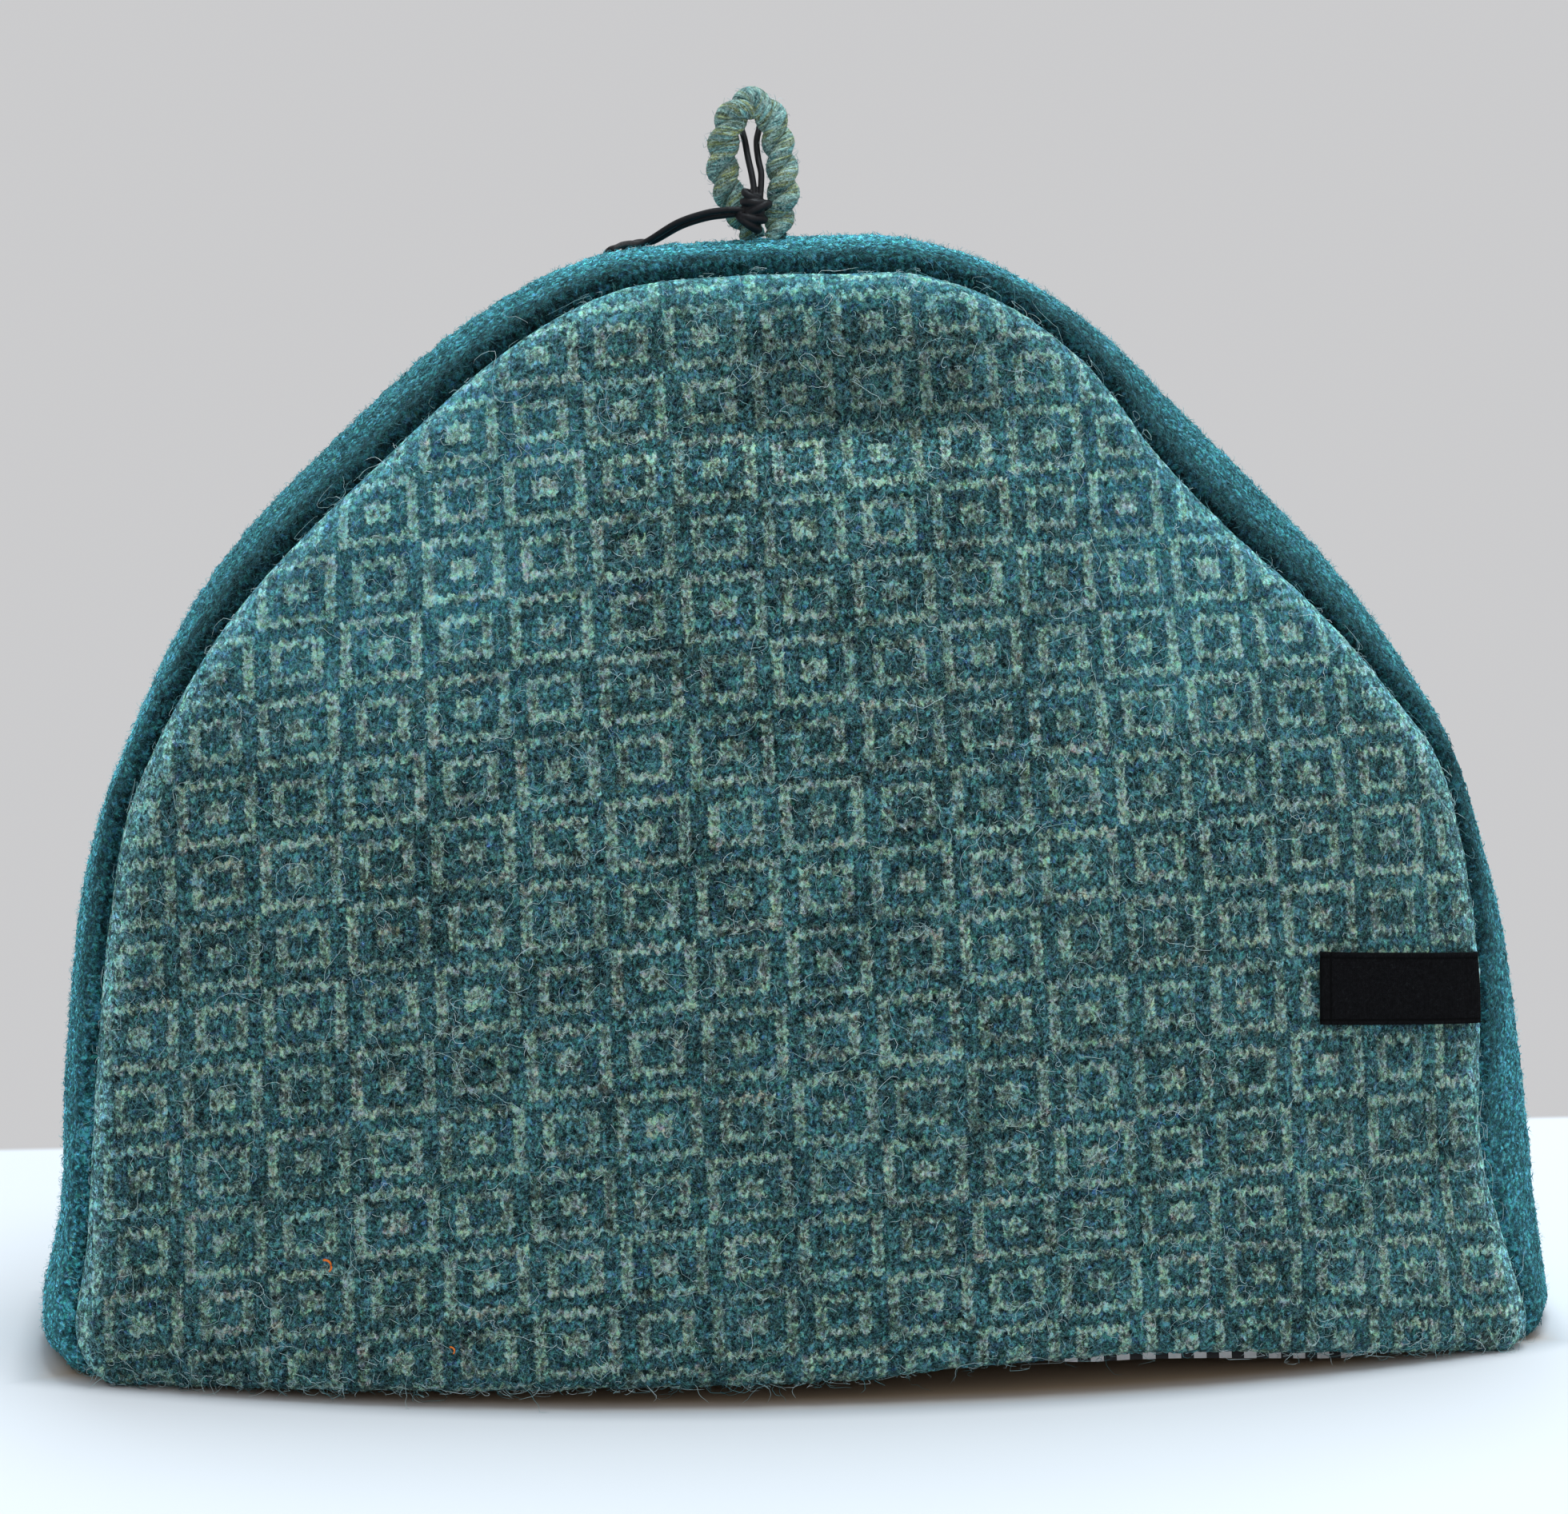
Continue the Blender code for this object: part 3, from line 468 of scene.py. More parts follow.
def lay_on_panel(across, along, dents):
    """x and z of the points that lie so far across and along the curved cloth."""
    xs = np.arange(*CLOTH_X)
    zs = np.arange(*CLOTH_Z)
    zz, xx = np.meshgrid(zs, xs, indexing="ij")
    face = panel_face(xx, zz, dents)
    stretch_x = np.sqrt(1 + np.gradient(face, axis=1) ** 2)
    stretch_z = np.sqrt(1 + np.gradient(face, axis=0) ** 2)
    length_x = np.cumsum(stretch_x, axis=1)
    length_x -= length_x[:, [int(-xs[0])]]
    length_z = np.cumsum(stretch_z, axis=0)
    centre = int(PUFF_CENTRE[1] - zs[0])
    length_z += PUFF_CENTRE[1] - length_z[[centre], :]
    x, z = across.copy(), along.copy()
    rounds = 14
    for _ in range(rounds):
        i, j = z - zs[0], x - xs[0]
        x = np.clip(x + (across - bilinear(length_x, i, j)) / bilinear(stretch_x, i, j), xs[1], xs[-2])
        z = np.clip(z + (along - bilinear(length_z, i, j)) / bilinear(stretch_z, i, j), zs[1], zs[-2])
    return x, z


# ---- a panel's surface
def beyond_edge(x, z):
    """How far points lie outside the panel's edge, and where along the arch, in table rows."""
    out = np.full(len(x), -50.0)
    at = np.zeros(len(x))
    near = np.flatnonzero(puff_share(x, z) > 0.78)
    tangent = np.gradient(EDGE, axis=0)
    outward = unit(outward_of(EDGE))
    for part in np.array_split(near, max(1, len(near) // 4000)):
        gap_x = x[part, None] - EDGE[None, :, 0]
        gap_z = z[part, None] - EDGE[None, :, 1]
        k = np.argmin(gap_x ** 2 + gap_z ** 2, axis=1)
        rows = np.arange(len(part))
        gap = np.stack([gap_x[rows, k], gap_z[rows, k]], 1)
        step = tangent[k]
        shift = np.clip((gap * step).sum(1) / (step ** 2).sum(1), -0.6, 0.6)
        at[part] = np.clip(k + shift, 0, len(ARCH) - 1)
        out[part] = ((gap - step * shift[:, None]) * outward[k]).sum(1)
    return out, at


def panel_surface(x, z, dents):
    """Points and outward normals of a panel's outer face, z at least 0, with the distance beyond its edge."""
    out, at = beyond_edge(x, z)
    step = 0.5
    slope_x = (panel_face(x + step, z, dents) - panel_face(x - step, z, dents)) / (2 * step)
    slope_z = (panel_face(x, z + step, dents) - panel_face(x, z - step, dents)) / (2 * step)
    place = np.stack([x, -panel_face(x, z, dents), z], 1)
    normal = unit(np.stack([-slope_x, -np.ones_like(x), -slope_z], 1))

    over = np.clip(out, 0.0, REACH_BEYOND)
    angle = np.maximum(ROLL_START - over / PANEL_ROLL, ROLL_END)
    flange = np.maximum(over - ROLL_LENGTH, 0.0)
    part = FIT_GAP / 2 * math.sin(ROLL_END)
    r = PANEL_ROLL * (np.sin(angle) - math.sin(ROLL_END)) - flange * math.cos(ROLL_END) - part
    w = -PANEL_ROLL * (np.cos(angle) - math.cos(ROLL_END)) - flange * math.sin(ROLL_END) + part
    seam_x, seam_z, nx, nz = seam_at(at)
    height = np.where(seam_z < 1.0, z, seam_z)
    rolled = np.stack([seam_x + nx * r, -(half_depth(height) + w), height + nz * r], 1)
    rolled_normal = unit(np.stack([nx * np.sin(angle), np.cos(angle), nz * np.sin(angle)], 1))
    beyond = (out > 0)[:, None]
    place = np.where(beyond, rolled, place)
    return place, upright_at_foot(place, np.where(beyond, rolled_normal, normal)), out


def upright_at_foot(place, normal):
    """Normals that turn level towards the foot, where the cloth stands upright."""
    normal[:, 2] *= smoothstep(place[:, 2], *UPRIGHT)
    return unit(normal)


def fold_at_hem(below, thick):
    """Round the hem: height, depth behind the face and turn (0 out, 1 down, 2 in) at each z."""
    outer = np.minimum(HEM_ROUND, thick - 0.4)
    inner = thick - outer
    run = np.maximum(outer - below, 0.0)
    first = np.clip(run / outer, 0, math.pi / 2)
    run = np.maximum(run - outer * math.pi / 2, 0.0)
    second = np.clip(run / inner, 0, math.pi / 2)
    run = np.minimum(np.maximum(run - inner * math.pi / 2, 0.0), HEM_INSIDE)
    folded = below < outer
    height = np.where(folded, outer * (1 - np.sin(first)) + inner * (1 - np.cos(second)) + run, below)
    behind = outer * (1 - np.cos(first)) + inner * np.sin(second)
    turn = (first + second) / (math.pi / 2)
    return height, np.where(folded, behind, 0.0), np.where(folded, turn, 0.0), run >= HEM_INSIDE


def turned(normal, turn):
    """Normals turned downwards and inwards round the hem."""
    angle = turn * math.pi / 2
    down = np.array([0.0, 0.0, -1.0])
    return normal * np.cos(angle)[:, None] + down * np.sin(angle)[:, None]


def knit_panel(name, material, dents, across, along, seed, per_row, back=False):
    """A panel's mesh, and its cloth: points, normals and quads."""
    u, v, quads = stitch_lattice(PANEL_STITCHES, PANEL_ROWS, per_row)
    x, z = lay_on_panel(*lay_warp(u, v, across, along), dents)
    out, _ = beyond_edge(x, np.maximum(z, 0.0))
    thick = CLOTH + (HEM_THICK - CLOTH) * smoothstep(-out, *PANEL_HEM_FADE)
    height, behind, turn, ended = fold_at_hem(z, thick)
    keep = (out < REACH_BEYOND) & ~ended
    quads = quads[keep[quads].any(axis=1)]
    height, quads, behind, turn, x, u, v = drop_unused(height, quads, behind, turn, x, u, v)
    place, normal, out = panel_surface(x, height, dents)
    facing = turned(normal, turn)
    place = place - normal * behind[:, None]
    place = raise_stitches(place, facing, u, v, FRONT_RELIEF, (7.0, seed), 1 - smoothstep(out, *PANEL_FADE))
    if not back:
        place[:, 2] += front_lift(place[:, 0], place[:, 2])
    place[:, 2] = np.maximum(place[:, 2], FLOOR_GAP)
    faces = quads
    if back:
        place[:, 1] *= -1
        facing = facing * [1, -1, 1]
        faces = quads[:, ::-1]
    panel = new_mesh(name, place, faces, material, stitch=np.stack([u, v, REACH_BEYOND - out], 1))
    return panel, (place, facing, quads)


# ---- the gusset's surface
def gusset_section(crest, depth):
    """Half section (r, w) of the gusset from its seam allowance to the crest."""
    s, c = math.sin(ROLL_END), math.cos(ROLL_END)
    tip = -SEAM_ALLOWANCE * np.array([c, s])
    rise = crest - GUSSET_ROLL * (s + 1)
    run = depth + GUSSET_ROLL * (1 - c) - GUSSET_ROLL
    turn = 2 * math.degrees(math.atan2(rise, run))
    radius = run / math.sin(math.radians(turn)) + GUSSET_ROLL
    edge = roll(GUSSET_ROLL, SEAM_ANGLE, np.linspace(SEAM_ANGLE, turn - 90.0, 14))
    flat = edge[-1] + roll(radius, turn - 90.0, np.linspace(turn - 90.0, -90.0, 16))[1:]
    part = FIT_GAP / 2 * s
    return np.vstack([tip, edge, flat]) + [part, depth - part]


def section_table():
    """For each row of the arch: r and w at even steps from the crest to the tip, and the half width."""
    r, w, half = [], [], []
    for row in ARCH:
        section = gusset_section(row[2], half_depth(row[1]))[::-1]
        run = run_along(section)
        steps = np.linspace(0.0, run[-1], SECTION_STEPS)
        r.append(np.interp(steps, run, section[:, 0]))
        w.append(np.interp(steps, run, section[:, 1]))
        half.append(run[-1])
    return np.array(r), np.array(w), np.array(half)


SECTION_R, SECTION_W, SECTION_HALF = section_table()


def gusset_surface(at, across):
    """Points and outward normals of the gusset's outer face; across is measured from the crest."""
    step = np.clip(np.abs(across) / on_arch(at, SECTION_HALF), 0, 1) * (SECTION_STEPS - 1)
    r, w = bilinear(SECTION_R, at, step), bilinear(SECTION_W, at, step)
    ahead, astern = np.minimum(step + 0.5, SECTION_STEPS - 1), np.maximum(step - 0.5, 0)
    dr = bilinear(SECTION_R, at, ahead) - bilinear(SECTION_R, at, astern)
    dw = bilinear(SECTION_W, at, ahead) - bilinear(SECTION_W, at, astern)
    side = np.sign(across) + (across == 0)
    x, z, nx, nz = seam_at(at)
    place = np.stack([x + nx * r, -w * side, z + nz * r], 1)
    normal = unit(np.stack([nx * dw, side * dr, nz * dw], 1))
    return place, upright_at_foot(place, normal)


def knit_gusset(material):
    """The gusset's mesh, and its cloth: points, normals and quads."""
    stitches = int(ARCH_RUN[-1] / STITCH) + SPARE_STITCHES
    rows = int(SECTION_HALF.max() / ROW) + 2
    u, v, quads = stitch_lattice((-SPARE_STITCHES, stitches), (-rows, rows), 2)
    waver, over_rows = GUSSET_WAVER
    run = u * STITCH + GUSSET_START + waver * np.sin(v / over_rows)
    across = v * ROW
    total = ARCH_RUN[-1]
    half = on_arch(np.interp(np.clip(run, 0, total), ARCH_RUN, ARCH_T), SECTION_HALF)
    thick = CLOTH + (HEM_THICK - CLOTH) * smoothstep(half - np.abs(across), *GUSSET_HEM_FADE)
    height, behind, turn, ended = fold_at_hem(np.minimum(run, total - run), thick)
    at = np.interp(np.where(run < total / 2, height, total - height), ARCH_RUN, ARCH_T)
    keep = (np.abs(across) < half) & ~ended
    quads = quads[keep[quads].any(axis=1)]
    at, quads, across, behind, turn, u, v = drop_unused(at, quads, across, behind, turn, u, v)
    place, normal = gusset_surface(at, across)
    facing = turned(normal, turn)
    place = place - normal * behind[:, None]
    from_seam = on_arch(at, SECTION_HALF) - np.abs(across)
    place = raise_stitches(place, facing, u, v, GUSSET_RELIEF, (6.0, 5), smoothstep(from_seam, *GUSSET_FADE))
    place[:, 2] = np.maximum(place[:, 2], FLOOR_GAP)
    stitch = np.stack([u, v, from_seam], 1)
    gusset = new_mesh("gusset_knit", place, quads[:, ::-1], material, stitch=stitch)
    return gusset, (place, facing, quads)


# ---- material building
class Value:
    """What a shader's node puts out; sums with it add Math nodes."""

    def __init__(self, shader, socket):
        self.shader = shader
        self.socket = socket

    def math(self, operation, other=None):
        return self.shader.math(operation, self, other)

    __add__ = partialmethod(math, "ADD")
    __sub__ = partialmethod(math, "SUBTRACT")
    __mul__ = partialmethod(math, "MULTIPLY")
    __truediv__ = partialmethod(math, "DIVIDE")
    __mod__ = partialmethod(math, "FLOORED_MODULO")
    __abs__ = partialmethod(math, "ABSOLUTE")
    above = partialmethod(math, "GREATER_THAN")
    below = partialmethod(math, "LESS_THAN")
    least = partialmethod(math, "MINIMUM")
    most = partialmethod(math, "MAXIMUM")
    floor = partialmethod(math, "FLOOR")
    fract = partialmethod(math, "FRACT")

    def __radd__(self, other):
        return self.shader.math("ADD", other, self)

    def __rsub__(self, other):
        return self.shader.math("SUBTRACT", other, self)

    def fade(self, low, high, start=0.0, end=1.0):
        """Mapped smoothly from low..high to start..end."""
        inputs = {"Value": self, "From Min": low, "From Max": high, "To Min": start, "To Max": end}
        return self.shader.node("MapRange", "Result", inputs, interpolation_type="SMOOTHSTEP")

    def fall(self, low, high):
        return self.fade(low, high, 1.0, 0.0)

    def band(self, none, full, falls, gone):
        """1 from full to falls, smoothly down to 0 at none and gone."""
        return self.fade(none, full) * self.fall(falls, gone)


class Shader:
    """A node material on the principled shader."""

    def __init__(self, name, roughness=0.9, sheen=0.0, sheen_tint=(1, 1, 1), specular=0.3):
        self.material = bpy.data.materials.new(name)
        self.material.use_nodes = True
        self.tree = self.material.node_tree
        self.main = self.tree.nodes["Principled BSDF"]
        settings = {"Roughness": roughness, "Sheen Weight": sheen, "Sheen Roughness": 0.22,
                    "Sheen Tint": (*sheen_tint, 1.0), "Specular IOR Level": specular}
        for key, value in settings.items():
            self.main.inputs[key].default_value = value

    def put(self, socket, value):
        if isinstance(value, Value):
            self.tree.links.new(value.socket, socket)
        elif value is not None:
            socket.default_value = value

    def node(self, kind, output, inputs, **settings):
        """The named output of a new node with these inputs."""
        made = self.tree.nodes.new("ShaderNode" + kind)
        for key, value in settings.items():
            setattr(made, key, value)
        for key, value in inputs.items():
            self.put(made.inputs[key], value)
        return Value(self, made.outputs[output])

    def math(self, operation, a, b=None):
        return self.node("Math", 0, {0: a, 1: b}, operation=operation)

    def attribute(self, name, output):
        return self.node("Attribute", output, {}, attribute_name=name)

    def stitch(self):
        """The three parts of the mesh's stitch attribute."""
        return self.split(self.attribute("stitch", "Vector"))

    def place(self):
        """The point in mm, in the object's own coordinates."""
        return self.grey(self.node("TexCoord", "Object", {}), 1000.0)

    def split(self, vector):
        parts = self.node("SeparateXYZ", 0, {0: vector}).socket.node.outputs
        return [Value(self, socket) for socket in parts]

    def join(self, x, y, z=0.0):
        return self.node("CombineXYZ", 0, {0: x, 1: y, 2: z})

    def shift(self, vector, by):
        return self.node("VectorMath", 0, {0: vector, 1: by}, operation="ADD")

    def grey(self, colour, share):
        """The colour or vector times a number."""
        return self.node("VectorMath", 0, {0: colour, "Scale": share}, operation="SCALE")

    def doubled(self, colour, times):
        """The colour doubled so many times."""
        return self.grey(colour, self.math("POWER", 2.0, times))

    def noise(self, vector, scale, detail=2.0, rough=0.5, distortion=0.0, output="Fac"):
        inputs = {"Vector": vector, "Scale": scale, "Detail": detail, "Roughness": rough,
                  "Distortion": distortion}
        return self.node("TexNoise", output, inputs)

    def hues(self, vector, *settings):
        """Three independent noises."""
        return self.split(self.noise(vector, *settings, "Color"))

    def white(self, vector):
        return self.node("TexWhiteNoise", "Value", {"Vector": vector}, noise_dimensions="3D")

    def ramp(self, value, stops):
        shade = self.node("ValToRGB", "Color", {0: value})
        elements = shade.socket.node.color_ramp.elements
        while len(elements) < len(stops):
            elements.new(0.5)
        for element, (spot, colour) in zip(elements, stops):
            element.position = spot
            element.color = (*colour, 1.0)
        return shade

    def mix(self, share, a, b, blend="MIX"):
        a, b = [v if isinstance(v, Value) else (*v, 1.0) for v in (a, b)]
        return self.node("Mix", 2, {"Factor": share, 6: a, 7: b}, data_type="RGBA", blend_type=blend)

    def bump(self, height, distance, strength=1.0):
        inputs = {"Strength": strength, "Distance": distance * MM, "Height": height}
        self.put(self.main.inputs["Normal"], self.node("Bump", "Normal", inputs))

    def colour(self, value):
        self.put(self.main.inputs["Base Color"], value)

    def fibres(self, place, scale, width, seed):
        """1 on thin curling lines, like fibres lying on the cloth."""
        field = self.noise(self.shift(place, (seed * 7.3, seed * 3.1, seed * 5.7)), scale, 1.5, 0.45, 0.9)
        return abs(field - 0.5).fall(0.0, width)


def chequer(u, v_leg):
    """1 on the light stitches: squares in squares, drawn in by the dark yarn."""
    across, along = u + CELL / 2, v_leg + CELL / 2
    a, b = across % CELL, along % CELL
    inward = a.least(CELL - a).least(b.least(CELL - b))
    ring = inward.floor()
    from_outer = inward - ring
    cell = (across / CELL).floor() + (along / CELL).floor()
    is_light = 1.0 - (cell + ring) % 2.0
    drawn_in = ring.above(1.5).most(from_outer.fall(0.78, 0.98))
    return is_light * (from_outer.fade(0.02, 0.22) * drawn_in)


def yarn_legs(s, u, v):
    """Rows along the stitches' legs, the dark groove round each leg and the strands up it."""
    across = u.fract()
    lean = abs(across * 2.0 - 1.0)
    v_leg = v - lean * ZIGZAG
    side = across.above(0.5)
    slant = (side * 2.0 - 1.0) * (v * -0.36)
    strand = s.noise(s.join((u + slant) * 6.5, v * 1.6, side * 31.0), 1.0, 2.0, 0.6, 0.5)
    groove_across = abs(lean - 0.5).fade(0.25, 0.5)
    groove_along = abs(v_leg.fract() - 0.5).fade(0.27, 0.5)
    return v_leg, (groove_across * 0.8).most(groove_along), strand


def panel_painted_light(s, x, y, z, depth, colour, lip, side_lip, shoulder):
    """Painted light on a panel: painted highlights on the shoulders, the lip, its lower sides,
    the turn over the crown and the right foot, bluer on the turn and the lip, with the pattern
    fainter over the top; on the front, painted shade in the level fold under the crown and a
    painted highlight on the roll under it.
    """
    on_front = y.below(0.0)
    # painted top light over the turn of the crown
    turn = z.fade(230.0, 243.0)
    depth = depth * z.fade(228.0, 246.0, 1.0, 0.55)
    depth = depth * (1.0 - shoulder * 0.35)
    # painted shade in the level fold and a painted highlight on the roll under it, front only
    fold = z.band(209.5, 214.5, 228.0, 238.0) * abs(x - 10.0).fall(12.0, 42.0)
    roll_under = z.band(196.0, 203.0, 207.5, 212.5) * abs(x).fall(34.0, 66.0)
    # painted highlight on the right foot
    foot = z.fall(10.0, 50.0) * x.fade(-60.0, 60.0)
    depth = depth + (shoulder * 0.70 + lip * 0.28)
    depth = depth + side_lip * 0.35
    depth = depth + (turn * 0.65 + foot * 0.22)
    depth = depth + (roll_under * 0.45 - fold * 0.85) * on_front
    return depth, s.mix(turn.most(lip * 0.5), colour, (0.70, 1.0, 1.10), "MULTIPLY")


def gusset_painted_light(x, y, z, depth):
    """Painted highlights along the crest, over the crown and at the left foot, painted shade on
    the shoulders.
    """
    crest, crown = abs(y).fall(3.0, 16.0), z.fade(235.0, 262.0, 0.0, 0.6)
    shoulder = z.band(140.0, 180.0, 232.0, 250.0)
    # painted highlights on the crest and crown, painted shade on the shoulders
    depth = depth * 0.8 + (crest * 0.6 + crown)
    return depth + x.fade(-152.0, -122.0, 0.65, 0.0) - shoulder * 0.5


def knit_material(name, dark_yarn, light_yarn, sheen, sheen_tint, fibre_light, furrow, recess, grain, mottle,
                  stroke, fluff):
    """Felted wool stitches; where there is a light yarn, the chequered squares are worked in it.

    furrow is the darkness between stitches, recess the start, end and darkness of the
    painted shade towards the seam; grain, mottle and stroke are the strengths of the fine fluff,
    of the uneven felting and of the yarn's own strands; all in doublings. fluff is the
    share of the curls drawn over it.
    """
    s = Shader(name, roughness=0.95, sheen=sheen, sheen_tint=sheen_tint, specular=0.06)
    place = s.place()
    x, y, z = s.split(place)
    u, v, from_seam = s.stitch()
    ragged = s.hues(place, 0.8, 4.0, 0.8, 0.6)
    u = u + (ragged[0] - 0.5) * 1.1
    v = v + (ragged[1] - 0.5) * 1.2
    v_leg, groove, strand = yarn_legs(s, u, v)
    row = v_leg.floor()
    odd = s.white(s.join(u.floor(), row))

    # yarn colours, changing along each row and from fibre to fibre
    heather = s.hues(place, 0.9, 3.0, 0.7, 0.8)
    drift = s.hues(s.join(u * 0.33, row * 3.7), 1.0, 2.0, 0.5, 0.0)
    colour = s.ramp(heather[0] * 0.7 + drift[0] * 0.3, dark_yarn)
    brightest = 1.75
    if light_yarn:
        light = s.ramp(heather[1] * 0.6 + drift[1] * 0.4, light_yarn)
        is_light = chequer(u, v_leg) * s.noise(place, 0.13, 2.0, 0.6).fade(0.35, 0.58, 0.62, 1.0)
        colour = s.mix(is_light, colour, light)
        brightest = brightest - is_light * 0.75
        # painted highlight on the rolled lip and on its lower sides
        lip = from_seam.band(5.0, 8.0, 12.0, 19.0)
        side_lip = lip * z.fall(130.0, 200.0)
        colour = s.mix((lip + side_lip) * 0.15, colour, fibre_light)
        # painted bluish top light on the shoulders
        shoulder = z.fade(120.0, 185.0) * abs(x).fade(30.0, 80.0)
        colour = s.mix(shoulder, colour, (0.86, 1.02, 1.12), "MULTIPLY")
    tints = s.noise(s.shift(place, (5.0, 2.0, 7.0)), 0.8, 2.0, 0.6, 0.5, "Color")
    colour = s.mix(0.5, colour, s.grey(tints, 2.0), "MULTIPLY")

    # brightness in doublings
    tufts = s.noise(place, 0.75, 3.2, 0.75, 0.8)
    specks = s.noise(s.shift(place, (3.0, 8.0, 1.0)), 1.6, 1.5, 0.6, 0.8)
    pits = s.noise(s.shift(place, (9.0, 4.0, 2.0)), 0.55, 2.0, 0.6, 1.0).fall(0.34, 0.52)
    flakes = s.noise(s.shift(place, (1.0, 6.0, 5.0)), 0.62, 1.0, 0.5, 0.4)
    patches = s.noise(place, 0.07, 2.0, 0.6)
    curls = s.fibres(place, 0.24, 0.016, 1)
    for scale, width, seed in ((0.33, 0.020, 2), (0.45, 0.026, 3), (0.62, 0.034, 7)):
        curls = curls.most(s.fibres(place, scale, width, seed))
    parts = ((tufts, grain), (specks, 0.4 * grain), (strand, stroke), (flakes, mottle),
             (patches, 3.3), (odd, 0.6))
    depth = sum(((part - 0.5) * strength for part, strength in parts), -0.10)
    depth = depth - groove * furrow - pits * 1.4 + curls * (1.3 * fluff)
    depth = depth.least(brightest)
    # painted light and shade by place on the panels and on the gusset
    if light_yarn:
        depth, colour = panel_painted_light(s, x, y, z, depth, colour, lip, side_lip, shoulder)
    else:
        depth = gusset_painted_light(x, y, z, depth)
    # painted shade towards the seam, weaker towards the foot
    seam_shade = from_seam.fade(*recess, 0.0) * z.fade(20.0, 130.0, 0.35, 1.0)
    colour = s.doubled(colour, depth - seam_shade)
    s.colour(s.mix(curls * (0.25 * fluff), colour, fibre_light))
    rise = strand * 0.5 + (tufts * 1.1 + curls * 0.35)
    s.bump(rise - groove * 0.7, 0.4, 0.8)
    return s.material


def waves(values, lengths):
    """Sine waves of these lengths, in mm."""
    return [(value * (2 * math.pi / length)).math("SINE") for value, length in zip(values, lengths)]


def gingham_material():
    s = Shader("gingham_cotton", roughness=0.85, sheen=0.1, specular=0.25)
    u, v, _ = s.stitch()
    bar_u, bar_v = [(axis % (2 * CHECK)).above(CHECK) for axis in (u, v)]
    threads_u, threads_v = waves((u, v), (0.34, 0.34))
    uneven = s.noise(s.place(), 0.8, 3.0, 0.6)
    colour = s.mix(abs(bar_u - bar_v), (0.78, 0.79, 0.80), (0.02, 0.02, 0.023))
    s.colour(s.grey(colour, 0.82 + uneven * 0.3))
    s.bump(abs(threads_u * threads_v), 0.12, 0.7)
    return s.material


def label_material():
    """Black ribbon with a stitched line just inside its sides and its free end."""
    s = Shader("woven_ribbon", roughness=0.9, sheen=0.015, specular=0.05)
    u, v, _ = s.stitch()
    ribs, picks = waves((u, v), (0.36, 0.5))
    uneven = s.noise(s.place(), 1.3, 3.0, 0.6)
    fluff = s.fibres(s.place(), 0.7, 0.02, 6)
    seam = abs(abs(v) - 6.9).least(abs(u - 2.2)).fall(0.12, 0.38)
    colour = s.mix(fluff * 0.05, s.ramp(uneven, RIBBON), (0.10, 0.12, 0.13))
    s.colour(s.mix(seam * 0.7, colour, (0.001, 0.001, 0.001)))
    weave = ribs * 0.5 + (ribs * picks) * 0.5
    s.bump(weave - seam * 4.0, 0.10, 0.6)
    return s.material


def loop_material():
    s = Shader("loop_wool", roughness=0.9, sheen=0.3, sheen_tint=(0.6, 0.85, 0.8), specular=0.2)
    place = s.place()
    along, around, strand = s.stitch()
    fibre = s.noise(s.join(along * 0.35, around * 3.2, strand), 1.0, 3.0, 0.65, 0.6)
    heather = s.noise(s.join(along * 0.16, around * 0.7, strand * 5.0), 1.0, 3.0, 0.6, 0.5)
    tufts = s.noise(place, 1.5, 4.0, 0.8, 0.7)
    depth = -0.45 + (fibre - 0.5) * 8.0 + (tufts - 0.5) * 8.0
    colour = s.doubled(s.ramp(heather, LOOP_YARN), depth.least(1.0))
    curls = s.fibres(place, 0.5, 0.03, 4).most(s.fibres(place, 0.9, 0.04, 5))
    s.colour(s.mix(curls * 0.45, colour, (0.55, 0.72, 0.68)))
    s.bump(fibre + tufts, 0.35, 0.8)
    return s.material


def waxed_material():
    s = Shader("waxed_cotton", roughness=0.5, specular=0.22)
    place = s.place()
    uneven = s.noise(place, 1.6, 3.0, 0.6)
    s.colour(s.ramp(uneven, WAX))
    s.put(s.main.inputs["Roughness"], uneven.fade(0.3, 0.7, 0.38, 0.62))
    s.bump(s.noise(place, 5.0, 2.0, 0.6), 0.12, 0.5)
    return s.material


def fibre_material(name, stops):
    """Loose wool hairs, whose colour changes from hair to hair."""
    s = Shader(name, roughness=0.6, specular=0.25)
    s.colour(s.ramp(s.attribute("shade", "Fac"), stops))
    return s.material


def floor_material():
    """White table top with a painted brown shadow under the cosy and a painted glow round it,
    then the wall's even grey behind its far edge.
    """
    s = Shader("table_top", roughness=1.0, specular=0.0)
    x, y, _ = s.split(s.place())
    wall = y.fade(TABLE_EDGE - 3.0, TABLE_EDGE + 3.0)
    x = abs(x)
    bulge = 1.0 - (x / 172.0).math("POWER", 2.2)
    outside = (abs(y) - (34.0 + bulge * 38.0)).most(x - 172.0)
    # painted brown shadow under the cosy's footprint
    table = s.mix(outside.fade(-10.0, 3.0), TABLE_SHADE, TABLE_WHITE)
    s.colour(s.mix(wall, table, BLACK))
    # painted glow on the table round the footprint, none under the cosy
    glow = s.mix(outside.fade(0.0, 9.0), BLACK, TABLE_GLOW)
    s.put(s.main.inputs["Emission Color"], s.mix(wall, glow, WALL_GREY))
    s.main.inputs["Emission Strength"].default_value = 1.0
    return s.material


